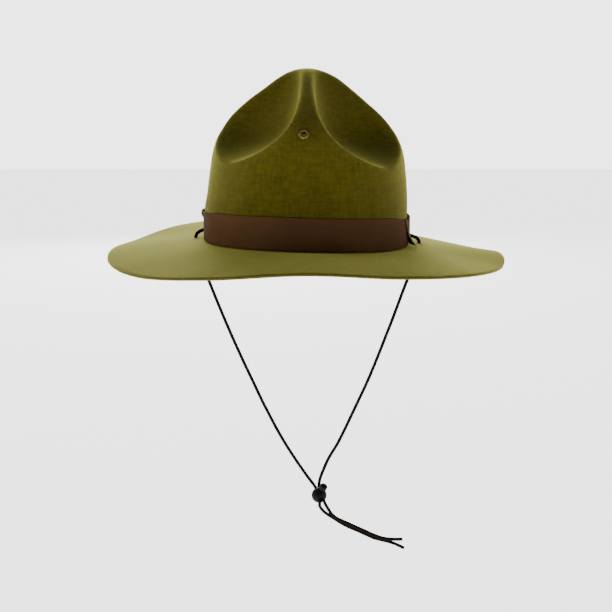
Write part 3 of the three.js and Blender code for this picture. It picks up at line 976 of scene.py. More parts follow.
def add_object(name: str, data: Any) -> bpy.types.Object:
    """Put data in the scene as an object at the origin.

    Args:
        name: The object's name.
        data: Its data.

    Returns:
        The object.
    """
    made = bpy.data.objects.new(name, data)
    bpy.context.scene.collection.objects.link(made)
    return made


def mesh_object(name: str, points: Array, faces: Sequence[Sequence[int]]) -> bpy.types.Object:
    """Make a smooth-shaded mesh object.

    Args:
        name: The piece's name.
        points: Its corners.
        faces: Its faces.

    Returns:
        The object.
    """
    mesh = bpy.data.meshes.new(name)
    mesh.from_pydata([tuple(p) for p in points], [], [tuple(f) for f in faces])
    mesh.validate()
    mesh.shade_smooth()
    return add_object(name, mesh)


def store(piece: bpy.types.Object, name: str, values: Array) -> None:
    """Store a number on each corner of a piece.

    Args:
        piece: The piece.
        name: The attribute's name.
        values: One value for each corner.
    """
    attribute = piece.data.attributes.new(name, "FLOAT", "POINT")
    attribute.data.foreach_set("value", np.asarray(values, np.float32))


def corners(piece: bpy.types.Object) -> Array:
    """Read the corners of a piece.

    Args:
        piece: The piece.

    Returns:
        The corners, as rows of x, y and z.
    """
    flat = np.empty(3 * len(piece.data.vertices), np.float32)
    piece.data.vertices.foreach_get("co", flat)
    return flat.reshape(-1, 3).astype(float)


def cut(piece: bpy.types.Object, cutters: Sequence[bpy.types.Object]) -> None:
    """Cut other solids out of a piece, and remove them.

    Args:
        piece: The piece that is cut.
        cutters: The solids that are taken away.
    """
    for cutter in cutters:
        modifier = piece.modifiers.new("cut", "BOOLEAN")
        modifier.object = cutter
        modifier.operation = "DIFFERENCE"
        modifier.solver = "EXACT"
    mesh = result_of(piece)
    piece.modifiers.clear()
    piece.data = mesh
    for cutter in cutters:
        bpy.data.objects.remove(cutter)


def dress(piece: bpy.types.Object, material: bpy.types.Material, body: str,
          nodes: Sequence[str] = ()) -> bpy.types.Object:
    """Give a piece its material and say what it rides on and stands for.

    Args:
        piece: The piece.
        material: Its material.
        body: The body that it rides on.
        nodes: The construction nodes that it stands for.

    Returns:
        The piece.
    """
    piece.data.materials.clear()
    piece.data.materials.append(material)
    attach(piece, body)
    if nodes:
        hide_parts(*nodes)
    LOG.info("%s: %d corners, rides on %s", piece.name, len(piece.data.vertices), body)
    return piece


def turned(profile: Sequence[tuple[float, float]], axis: Vector, centre: Vector, segments: int,
           name: str) -> bpy.types.Object:
    """Turn a closed profile about an axis.

    Args:
        profile: Radius and height of each point, anticlockwise seen with the axis up and the
            radius to the right; points on the axis have radius 0.
        axis: The axis, pointing up the profile.
        centre: Where the profile's height is 0.
        segments: How many steps round.
        name: The piece's name.

    Returns:
        The turned piece.
    """
    mesh = bpy.data.meshes.new(name)
    form = bmesh.new()
    rings = []
    for radius, height in profile:
        if radius < TINY:
            rings.append([form.verts.new((0, 0, height))] * segments)
            continue
        turns = [2 * math.pi * i / segments for i in range(segments)]
        ring = [(radius * math.cos(turn), radius * math.sin(turn), height) for turn in turns]
        rings.append([form.verts.new(place) for place in ring])
    for low, high in zip(rings, rings[1:] + rings[:1]):
        for i in range(segments):
            j = (i + 1) % segments
            face = list(dict.fromkeys([low[i], low[j], high[j], high[i]]))
            if len(face) > 2:
                form.faces.new(face)
    bmesh.ops.recalc_face_normals(form, faces=form.faces)
    turn = Vector((0, 0, 1)).rotation_difference(axis).to_matrix().to_4x4()
    bmesh.ops.transform(form, matrix=Matrix.Translation(centre) @ turn, verts=form.verts)
    form.to_mesh(mesh)
    form.free()
    mesh.shade_smooth()
    return add_object(name, mesh)


def rounded(outline: Outline, radii: Sequence[float], steps: int = 5) -> Outline:
    """Round the corners of a closed outline.

    Args:
        outline: Its corners.
        radii: The rounding at each corner.
        steps: How many steps each rounding has.

    Returns:
        The rounded outline.
    """
    result = []
    for i, (corner, radius) in enumerate(zip(outline, radii)):
        if radius <= 0:
            result.append(corner)
            continue
        here = Vector(corner)
        before = (Vector(outline[i - 1]) - here).normalized() * radius
        after = (Vector(outline[(i + 1) % len(outline)]) - here).normalized() * radius
        for step in range(steps + 1):
            t = step / steps
            point = here + before * (1 - t) ** 2 + after * t**2
            result.append((point.x, point.y))
    return result


@dataclass
class Studio:
    """The floor, the soft light and the camera at the photograph's angle."""

    camera_place: Point = (0.0, -0.89325, 0.10999)
    camera_pitch: float = 79.18
    lens: float = 63.2
    sensor: float = 36.0
    floor_drop: float = 0.04
    floor_size: float = 12.0
    front: float = 0.34
    back: float = 3.3
    back_width: float = 1.15
    back_focus: float = 5.0
    left: float = 0.5
    right: float = 0.28
    side_focus: float = 2.0
    ceiling_loss: float = 0.94
    ceiling_curve: float = 0.5
    horizon: float = 0.1
    # Name, place, size in metres and power in watts
    lights: tuple[tuple[str, Point, float, float], ...] = (
        ("light_left", (-1.7, -0.1, 0.5), 1.2, 9.0),
        ("light_right", (1.7, 0.2, 0.3), 1.2, 4.0),
        ("light_back", (-0.25, 2.4, 0.6), 1.2, 45.0),
    )

    def set_camera(self) -> None:
        """Make the camera, and look through it."""
        data = bpy.data.cameras.new("camera")
        data.lens = self.lens
        data.sensor_width = self.sensor
        camera = add_object("camera", data)
        camera.location = self.camera_place
        camera.rotation_euler = (math.radians(self.camera_pitch), 0, 0)
        bpy.context.scene.camera = camera

    def _set_room(self) -> None:
        """Make white surroundings: bright behind and beside the hat, dim in front and above."""
        graph = ShaderGraph("white_room", world=True)
        view = graph.node("ShaderNodeTexCoord", output="Generated")
        split = graph.node("ShaderNodeSeparateXYZ", inputs={"Vector": view})
        axes = [Signal(graph, split.socket.node.outputs[i]) for i in range(3)]
        behind = (axes[1] * self.back_width).clamped()
        above = ((axes[2] - self.horizon) / (1 - self.horizon)).clamped() ** self.ceiling_curve
        level = self.front + behind**self.back_focus * self.back
        for way, strength in ((axes[0] * -1, self.left), (axes[0], self.right)):
            level = level + way.clamped() ** self.side_focus * strength
        bpy.context.scene.world = graph.shine(level * (1 - above * self.ceiling_loss))

    def light(self) -> None:
        """Make the white surroundings and the soft lights."""
        self._set_room()
        for name, place, size, power in self.lights:
            data = bpy.data.lights.new(name, "AREA")
            data.shape = "DISK"
            data.size = size
            data.energy = power
            light = add_object(name, data)
            light.location = place
            light.rotation_euler = (-Vector(place)).to_track_quat("-Z", "Y").to_euler()

    def lay_floor(self) -> None:
        """Lay the floor below the lowest point of the cord."""
        lowest = CAD_BOX[0][2] - self.floor_drop
        half = self.floor_size / 2
        signs = ((-1, -1), (1, -1), (1, 1), (-1, 1))
        points = np.array([(x * half, y * half, lowest) for x, y in signs])
        floor = mesh_object("floor", points, [(0, 1, 2, 3)])
        floor.data.materials.append(FloorFinish().material())


def smooth_route(points: Sequence[Sequence[float]], step: float) -> Array:
    """Draw one smooth curve through chosen points.

    Args:
        points: The chosen points.
        step: The longest step between the points given back.

    Returns:
        The curve's points.
    """
    chosen = np.array(points, float)
    padded = np.vstack([2 * chosen[0] - chosen[1], chosen, 2 * chosen[-1] - chosen[-2]])
    result = [chosen[0]]
    for i in range(len(chosen) - 1):
        before, here, after, later = padded[i:i + 4]
        pairs = ((before, here), (here, after), (after, later))
        enter, span, leave = (max(np.linalg.norm(b - a) ** 0.5, TINY) for a, b in pairs)
        first = (here - before) / enter - (after - before) / (enter + span) + (after - here) / span
        last = (after - here) / span - (later - here) / (span + leave) + (later - after) / leave
        first, last = first * span, last * span
        count = max(1, math.ceil(np.linalg.norm(after - here) / step))
        for k in range(1, count + 1):
            t = k / count
            square = -3 * here + 3 * after - 2 * first - last
            cube = 2 * here - 2 * after + first + last
            result.append(here + first * t + square * t**2 + cube * t**3)
    return np.array(result)


@dataclass
class LockPlace:
    """Where the cord lock hangs, the way its button points and the way its cord hole runs."""

    centre: Vector = field(default_factory=lambda: Vector((0.0115, 0.001, -0.2297)))
    button: Vector = field(default_factory=lambda: Vector((0.36, -0.36, 0.86)).normalized())
    hole: Vector = field(default_factory=lambda: Vector((-0.259, 0.861, 0.437)))
    diameter: float = 0.0134
    cord_offset: float = 0.0008
    cord_spacing: float = 0.0027

    def __post_init__(self) -> None:
        """Square the hole's way to the button's."""
        self.hole = (self.hole - self.button * self.hole.dot(self.button)).normalized()
        self.across = self.button.cross(self.hole)

    def point(self, across: float, along: float, up: float) -> Vector:
        """A point in the lock's own frame."""
        return self.centre + self.across * across + self.hole * along + self.button * up


@dataclass
class ChinCord:
    """The braided cord: round the back of the crown, down through the brim and into the lock."""

    lock: LockPlace
    diameter: float = 0.0024
    hole_diameter: float = 0.0054
    right_hole_offset: float = 0.0095
    left_hole_offset: float = 0.0122
    hole_bearing: float = 94.5
    rise: float = 0.0046
    arch_end: float = 106.0
    settled: float = 127.0
    back_spans: int = 18
    strap_thickness: float = 0.001
    braid_pitch: float = 0.0074
    yarns: int = 6
    core_share: float = 1.05
    braid_share: float = 0.97
    weave_share: float = 0.04
    yarn_share: float = 0.28
    core_sides: int = 10
    yarn_sides: int = 6
    step: float = 0.0008
    path_stride: int = 4
    right_length: float = 0.351
    left_length: float = 0.332
    lock_shares: tuple[float, ...] = (0.5, 0.17, -0.17, -0.5)
    # Degrees behind the hole, and the offset and the height as shares of the hole's and the rise
    arch: tuple[Point, ...] = (
        (0.0, 1.0, 0.28), (1.2, 0.93, 0.72), (4.0, 0.76, 1.02), (7.5, 0.54, 1.17),
    )
    # The strands' points, from hole to lock and from lock to free end
    right_strand: tuple[Point, ...] = (
        (-0.0928, 0.0085, -0.0095), (-0.0918, 0.0083, -0.0145), (-0.0878, 0.0081, -0.027),
        (-0.0822, 0.008, -0.0414), (-0.0715, 0.008, -0.0691), (-0.0599, 0.008, -0.0972),
        (-0.0473, 0.008, -0.1256), (-0.0341, 0.008, -0.1543), (-0.0189, 0.008, -0.1834),
        (-0.0028, 0.0082, -0.2091), (0.0042, 0.0088, -0.2194), (0.0074, 0.0084, -0.2236),
    )
    left_strand: tuple[Point, ...] = (
        (0.0956, 0.0087, -0.014), (0.0944, 0.0084, -0.0185), (0.0906, 0.0081, -0.0285),
        (0.0854, 0.008, -0.0414), (0.0756, 0.008, -0.0691), (0.0653, 0.008, -0.0972),
        (0.0544, 0.008, -0.1256), (0.0417, 0.008, -0.1543), (0.0283, 0.008, -0.1834),
        (0.0201, 0.0084, -0.198), (0.0154, 0.0092, -0.2091), (0.0127, 0.0099, -0.2166),
        (0.0116, 0.0096, -0.2218),
    )
    right_end: tuple[Point, ...] = (
        (0.0123, -0.0066, -0.2329), (0.0117, -0.007, -0.2352), (0.0126, -0.0065, -0.2382),
        (0.0153, -0.0055, -0.242), (0.0193, -0.0047, -0.2456), (0.0241, -0.0041, -0.249),
        (0.0288, -0.0039, -0.2522), (0.0342, -0.0039, -0.2555), (0.0402, -0.0039, -0.2585),
        (0.0463, -0.0039, -0.2612), (0.053, -0.0039, -0.2644), (0.0598, -0.0039, -0.2675),
        (0.0665, -0.0038, -0.2694), (0.0733, -0.0038, -0.2712), (0.0801, -0.0038, -0.2738),
        (0.0862, -0.0037, -0.277),
    )
    left_end: tuple[Point, ...] = (
        (0.0153, -0.0066, -0.2318), (0.017, -0.0076, -0.235), (0.0193, -0.008, -0.2389),
        (0.0223, -0.008, -0.2436), (0.0268, -0.0077, -0.2477), (0.0327, -0.0073, -0.2507),
        (0.0394, -0.007, -0.254), (0.0461, -0.0069, -0.2572), (0.0528, -0.0068, -0.2604),
        (0.0596, -0.0067, -0.2637), (0.0663, -0.0064, -0.2663), (0.0731, -0.0061, -0.2676),
        (0.0798, -0.0059, -0.2679), (0.0845, -0.0058, -0.2679),
    )

    def hole_offset(self, side: Side) -> float:
        """How far a cord hole is from the crown's foot."""
        return self.right_hole_offset if side is Side.RIGHT else self.left_hole_offset

    def hole_top(self, side: Side) -> Array:
        """Middle of a cord hole's mouth, on the brim's top face."""
        bearing = math.radians(side.value * self.hole_bearing)
        return FORM.brim_top(np.array(bearing), np.array(self.hole_offset(side)))

    def hole_middle(self, side: Side, way: int) -> Array:
        """Where the strand and the back stretch meet, half way through the felt."""
        return self.hole_top(side) + np.array((0, 0, -FORM.felt / 2 + way * CLEARANCE / 2))

    def strand_route(self, side: Side) -> Array:
        """Lay out one hanging strand, from its hole to its free end.

        Args:
            side: Which strand.

        Returns:
            The route's points.
        """
        strand, end, across = {
            Side.RIGHT: (self.right_strand, self.right_end, self.lock.cord_spacing / 2),
            Side.LEFT: (self.left_strand, self.left_end, -self.lock.cord_spacing / 2),
        }[side]
        alongs = [share * self.lock.diameter for share in self.lock_shares]
        inside = [self.lock.point(across, along, self.lock.cord_offset) for along in alongs]
        return smooth_route([self.hole_middle(side, -1), *strand, *inside, *end], self.step)

    def back_route(self) -> Array:
        """Lay out the stretch round the back of the crown, with its arches into both holes.

        Returns:
            The route's points.
        """
        over_both = 2 * (CLEARANCE + self.strap_thickness) + CLEARANCE + self.diameter / 2
        over_one = over_both - self.strap_thickness - CLEARANCE
        settle = self.settled - self.arch_end
        route = self._arch(Side.LEFT)
        for i in range(self.back_spans + 1):
            degree = self.arch_end + (360 - 2 * self.arch_end) * i / self.back_spans
            ends = ease((self.settled - degree) / settle)
            ends += ease((degree - 360 + self.settled) / settle)
            bearing = math.radians(degree)
            offset = over_one + (over_both - over_one) * ends
            height = FORM.break_height(bearing) + self.rise
            route.append(FORM.foot(np.array(bearing), offset, height))
        return smooth_route([*route, *reversed(self._arch(Side.RIGHT))], self.step)

    def _arch(self, side: Side) -> list[Array]:
        """Lay out the arch up out of one hole.

        Args:
            side: Which hole.

        Returns:
            The arch's points, from the hole.
        """
        top = self.hole_top(side)[2]
        rows = [self.hole_middle(side, 1)]
        for bearing, share, height in self.arch:
            angle = math.radians(side.value * (self.hole_bearing + bearing))
            offset = share * self.hole_offset(side)
            rows.append(FORM.foot(np.array(angle), offset, top + height * self.rise))
        return rows

    def _braid(self, material: bpy.types.Material) -> GeometryTree:
        """Make the tree that braids yarns round a core along a route.

        Args:
            material: The cord's material.

        Returns:
            The tree.
        """
        radius = self.diameter / 2
        tree = GeometryTree("braid")
        tree.size("Step", self.step)
        tree.size("Pitch", self.braid_pitch)
        tree.size("Core Radius", self.core_share * radius)
        tree.size("Braid Radius", self.braid_share * radius)
        tree.size("Weave", self.weave_share * radius)
        tree.size("Yarn Radius", self.yarn_share * radius)
        tree.start()
        inputs = {"Curve": tree.get("Geometry"), "Length": tree.get("Step")}
        line = tree.node("GeometryNodeResampleCurve", {"mode": "LENGTH"}, inputs)
        core = tree.ring(self.core_sides, tree.get("Core Radius"))
        tree.close(tree.join([tree.tube(line, core), *self._yarns(tree, line)]), material)
        return tree

    def _yarns(self, tree: GeometryTree, line: bpy.types.NodeSocket) -> list[bpy.types.NodeSocket]:
        """Wind the yarns round a line, over and under each other.

        Args:
            tree: The tree, with its named inputs.
            line: The line.

        Returns:
            The yarns.
        """
        length = tree.node("GeometryNodeSplineParameter", output="Length")
        normal = tree.node("GeometryNodeInputNormal")
        tangent = tree.node("GeometryNodeInputTangent")
        binormal = tree.vector("CROSS_PRODUCT", tangent, normal)
        ring = tree.ring(self.yarn_sides, tree.get("Yarn Radius"))
        turn = tree.maths("DIVIDE", length, tree.get("Pitch"))
        turn = tree.maths("MULTIPLY", turn, 2 * math.pi)
        crossing = tree.maths("MULTIPLY", turn, float(self.yarns))
        yarns = []
        for twist, yarn in product(Twist, range(self.yarns)):
            wound = tree.maths("MULTIPLY", turn, float(twist.value))
            angle = tree.maths("ADD", wound, 2 * math.pi * yarn / self.yarns)
            phase = math.pi * (yarn + (twist is Twist.ANTICLOCKWISE))
            lift = tree.maths("COSINE", tree.maths("ADD", crossing, phase))
            lift = tree.maths("MULTIPLY", lift, tree.get("Weave"))
            reach = tree.maths("ADD", tree.get("Braid Radius"), lift)
            level, upright = (
                tree.vector("SCALE", way, tree.maths("MULTIPLY", tree.maths(wave, angle), reach))
                for way, wave in ((normal, "COSINE"), (binormal, "SINE")))
            inputs = {"Geometry": line, "Offset": tree.vector("ADD", level, upright)}
            yarns.append(tree.tube(tree.node("GeometryNodeSetPosition", inputs=inputs), ring))
        return yarns

    def _line(self, name: str, route: Array) -> bpy.types.Object:
        """Make a curve object along a route.

        Args:
            name: The object's name.
            route: The route's points.

        Returns:
            The curve object.
        """
        data = bpy.data.curves.new(name, "CURVE")
        data.dimensions = "3D"
        data.twist_mode = "MINIMUM"
        spline = data.splines.new("POLY")
        spline.points.add(len(route) - 1)
        for point, place in zip(spline.points, route):
            point.co = (*place, 1.0)
        return add_object(name, data)

    def build(self) -> None:
        material = CordFinish().material()
        tree = self._braid(material)
        stretches = (
            ("back", self.back_route(), 0.0),
            ("right", self.strand_route(Side.RIGHT), self.right_length),
            ("left", self.strand_route(Side.LEFT), self.left_length),
        )
        for word, route, length in stretches:
            piece = tree.run(self._line("cord_line", route), "braided_cord_" + word)
            dress(piece, material, HAT, ["cord_" + word])
            if length:
                path = [tuple(p) for p in route[::self.path_stride]] + [tuple(route[-1])]


@dataclass
class FeltBody:
    """Crown and brim, one pressed felt."""

    columns: int = 256
    dent_rows: int = 62
    wall_rows: int = 20
    break_rows: int = 4
    brim_rows: int = 24
    dent_start: float = 0.3
    edge_round: float = 0.0007
    edge_turns: tuple[float, ...] = (60.0, 30.0, 0.0, -30.0, -60.0)
    edge_wander: float = 0.00012
    edge_seed: int = 7
    edge_reach: float = 2.5
    edge_span: float = 2.0
    pucker: float = 0.0004
    pucker_reach: float = 0.0075
    crease_floor: float = 0.04
    fade_start: float = 0.09
    fade_span: float = 0.03
    hole_sides: int = 32

    def _outer(self) -> Array:
        """Lay out the outer face.

        Returns:
            A grid: columns round the hat, rows from the peak to the brim's edge.
        """
        bearing = np.linspace(0, 2 * math.pi, self.columns, endpoint=False)
        starts = FORM.break_height(bearing)
        foot = FORM.foot(bearing, np.zeros_like(bearing), starts + FORM.break_radius)
        level = np.hypot(foot[:, 0], foot[:, 1])
        lowest = np.arctan2(foot[:, 2], level)
        upper = 1 - (1 - self.dent_start) * np.arange(1, self.dent_rows + 1) / self.dent_rows
        lower = self.dent_start * (1 - np.arange(1, self.wall_rows + 1) / self.wall_rows)
        shares = np.concatenate([upper, lower])
        climb = lowest[:, None] + (math.pi / 2 - lowest[:, None]) * shares
        unit, out = foot[:, :2] / level[:, None], np.cos(climb)
        way = np.stack([unit[:, :1] * out, unit[:, 1:] * out, np.sin(climb)], axis=-1)
        rows = [FORM.crown_hit(np.zeros(3), way)]
        turns = np.radians(90 * np.arange(1, self.break_rows + 1) / self.break_rows)
        height = starts[:, None] + FORM.break_radius * (1 - np.sin(turns))
        offsets = FORM.break_radius * (1 - np.cos(turns))
        rows.append(FORM.foot(bearing[:, None], offsets[None, :], height))
        reach = FORM.brim_width - self.edge_round - FORM.break_radius
        offsets = FORM.break_radius + reach * np.arange(1, self.brim_rows + 1) / self.brim_rows
        rows.append(FORM.brim_top(bearing[:, None], offsets[None, :]))
        return np.concatenate(rows, axis=1)

    @staticmethod
    def _normals(grid: Array, peak: Array) -> Array:
        """Find the way the outer face looks.

        Args:
            grid: The outer face's grid.
            peak: The middle of its top.

        Returns:
            A unit vector for each point of the grid.
        """
        above = np.concatenate([np.broadcast_to(peak, (len(grid), 1, 3)), grid[:, :-1]], axis=1)
        below = np.concatenate([grid[:, 1:], grid[:, -1:]], axis=1)
        across = np.roll(grid, -1, axis=0) - np.roll(grid, 1, axis=0)
        normal = np.cross(below - above, across)
        return normal / np.linalg.norm(normal, axis=-1, keepdims=True)

    def _shell(self) -> bpy.types.Object:
        """Make the closed shell, with its raw edge rounded.

        Returns:
            The shell, not yet pierced.
        """
        grid = self._outer()
        peak = FORM.crown_hit(np.zeros(3), np.array((0.0, 0.0, 1.0)))
        normal = self._normals(grid, peak)
        middle = grid - normal * FORM.felt / 2
        away = middle[:, -1] - middle[:, -2]
        away /= np.linalg.norm(away, axis=-1, keepdims=True)
        draws = np.random.default_rng(self.edge_seed)
        wander = self.edge_wander * draws.standard_normal(self.columns)
        layers = [grid[:, i] for i in range(grid.shape[1])]
        for turn in np.radians(self.edge_turns):
            out = (self.edge_round * math.cos(turn) + wander)[:, None]
            up = normal[:, -1] * FORM.felt / 2 * math.sin(turn)
            layers.append(middle[:, -1] + away * out + up)
        inner = grid - normal * FORM.felt
        layers += [inner[:, i] for i in reversed(range(grid.shape[1]))]
        points = np.concatenate([*layers, peak[None], (peak - (0, 0, FORM.felt))[None]])
        last = (len(layers) - 1) * self.columns
        faces = []
        for j in range(self.columns):
            k = (j + 1) % self.columns
            faces.append((len(points) - 2, j, k))
            faces.append((len(points) - 1, last + k, last + j))
            for here in range(0, last, self.columns):
                below = here + self.columns
                faces.append((here + j, below + j, below + k, here + k))
        return mesh_object("felt_crown_and_brim", points, faces)

    def _pucker(self, piece: bpy.types.Object, seat: "EyeletSeat") -> None:
        """Draw the felt in round the eyelet.

        Args:
            piece: The felt.
            seat: Where the eyelet is set.
        """
        points = corners(piece)
        away = np.linalg.norm(points - np.array(seat.point), axis=1)
        depth = self.pucker * (1 - ease(away / self.pucker_reach))
        moved = points - depth[:, None] * np.array(seat.normal)
        piece.data.vertices.foreach_set("co", moved.astype(np.float32).ravel())
        piece.data.update()

    def _marks(self, piece: bpy.types.Object) -> None:
        """Store where the felt is creased and where it is cut at its edge.

        Args:
            piece: The felt.
        """
        points = corners(piece)
        bearing = np.arctan2(points[:, 0] / FORM.half_width, -points[:, 1] / FORM.half_length)
        foot = FORM.foot(bearing, np.zeros_like(bearing), points[:, 2])
        offset = np.linalg.norm(points[:, :2] - foot[:, :2], axis=1)
        outside = np.hypot(points[:, 0], points[:, 1]) > np.hypot(foot[:, 0], foot[:, 1])
        value, crease = FORM.field(points)
        on_crown = (points[:, 2] > self.crease_floor) & (np.abs(value) < FORM.felt / 2)
        # The crease mark, partly painted sheen highlight, fades out towards the peak
        fading = 1 - ease((points[:, 2] - self.fade_start) / self.fade_span)
        store(piece, "crease", np.where(on_crown, crease * fading, 0.0))
        inner = FORM.brim_width - self.edge_reach * self.edge_round
        edge = ease((offset - inner) / (self.edge_span * self.edge_round))
        store(piece, "edge", np.where(outside, edge, 0.0))

    def _drill(self, radius: float, axis: Vector, place: Vector) -> bpy.types.Object:
        """Turn a cutter that goes through the felt.

        Args:
            radius: The hole's radius.
            axis: The hole's axis.
            place: Where the axis meets the felt.

        Returns:
            The cutter.
        """
        through = 3 * FORM.felt
        profile = [(0, -through), (radius, -through), (radius, through), (0, through)]
        return turned(profile, axis, place, self.hole_sides, "hole")

    def build(self, seat: "EyeletSeat", cord: ChinCord) -> None:
        """Press, pierce and dress the felt.

        Args:
            seat: Where the eyelet is set.
            cord: The cord that goes through the brim.
        """
        piece = self._shell()
        self._pucker(piece, seat)
        holes = [cord.hole_top(side) for side in Side]
        radius = cord.hole_diameter / 2
        bore = self._drill(seat.barrel_diameter / 2 + CLEARANCE, seat.normal, seat.point)
        up = Vector((0, 0, 1))
        cut(piece, [bore, *(self._drill(radius, up, Vector(hole)) for hole in holes)])
        self._marks(piece)
        piece.data.shade_smooth()
        dress(piece, FeltFinish().material(holes, radius), HAT, ["felt_body"])


@dataclass
class EyeletSeat:
    """Where the eyelet sits on the front ridge, and the way the felt faces there."""

    height: float = 0.0856
    side: float = -0.0017
    reach: float = 0.0038
    barrel_diameter: float = 0.005

    def __post_init__(self) -> None:
        """Find the seat on the crown."""
        bearing = math.asin(self.side / FORM.half_length)
        swing = self.reach / FORM.half_length
        self.point = self._at(self.height, bearing)
        steps = (1, -1)
        high, low = (self._at(self.height + step * self.reach, bearing) for step in steps)
        left, right = (self._at(self.height, bearing + step * swing) for step in steps)
        self.normal = (left - right).cross(high - low).normalized()

    @staticmethod
    def _at(height: float, bearing: float) -> Vector:
        """Find the point of the crown's face at a height and a bearing."""
        way = np.array((math.sin(bearing), -math.cos(bearing), 0.0))
        return Vector(FORM.crown_hit(np.array((0.0, 0.0, height)), way))


@dataclass
class Eyelet:
    """The brass ventilation eyelet, turned over on both faces of the felt."""

    bore: float = 0.004
    flange: float = 0.0076
    wall: float = 0.0005
    thickness: float = 0.0007
    turn_share: float = 0.9
    inner_round: float = 0.00005
    segments: int = 64

    def build(self, seat: EyeletSeat) -> None:
        """Turn and dress the eyelet.

        Args:
            seat: Where it is set.
        """
        bore, flange, barrel = self.bore / 2, self.flange / 2, self.bore / 2 + self.wall
        outside, inside = CLEARANCE, -FORM.felt - CLEARANCE
        top, bottom = outside + self.thickness, inside - self.thickness
        outline = [(bore, bottom), (flange, bottom), (flange, inside), (barrel, inside),
                   (barrel, outside), (flange, outside), (flange, top), (bore, top)]
        turn_over = self.turn_share * self.thickness
        half = [turn_over, turn_over / 2, self.inner_round, 0.0]
        section = rounded(outline, [*half, *reversed(half)])
        piece = turned(section, seat.normal, seat.point, self.segments, "brass_eyelet")
        inward = corners(piece) - np.array(seat.point)
        level = inward @ np.array(seat.normal)
        reach = np.sqrt(np.maximum((inward**2).sum(axis=1) - level**2, 0))
        # Mark the bore's inner face, which the brass finish paints near-black as painted shade
        store(piece, "bore", 1 - ease((reach - bore) / self.wall))
        dress(piece, BrassFinish().material(), HAT, ["front_eyelet"])


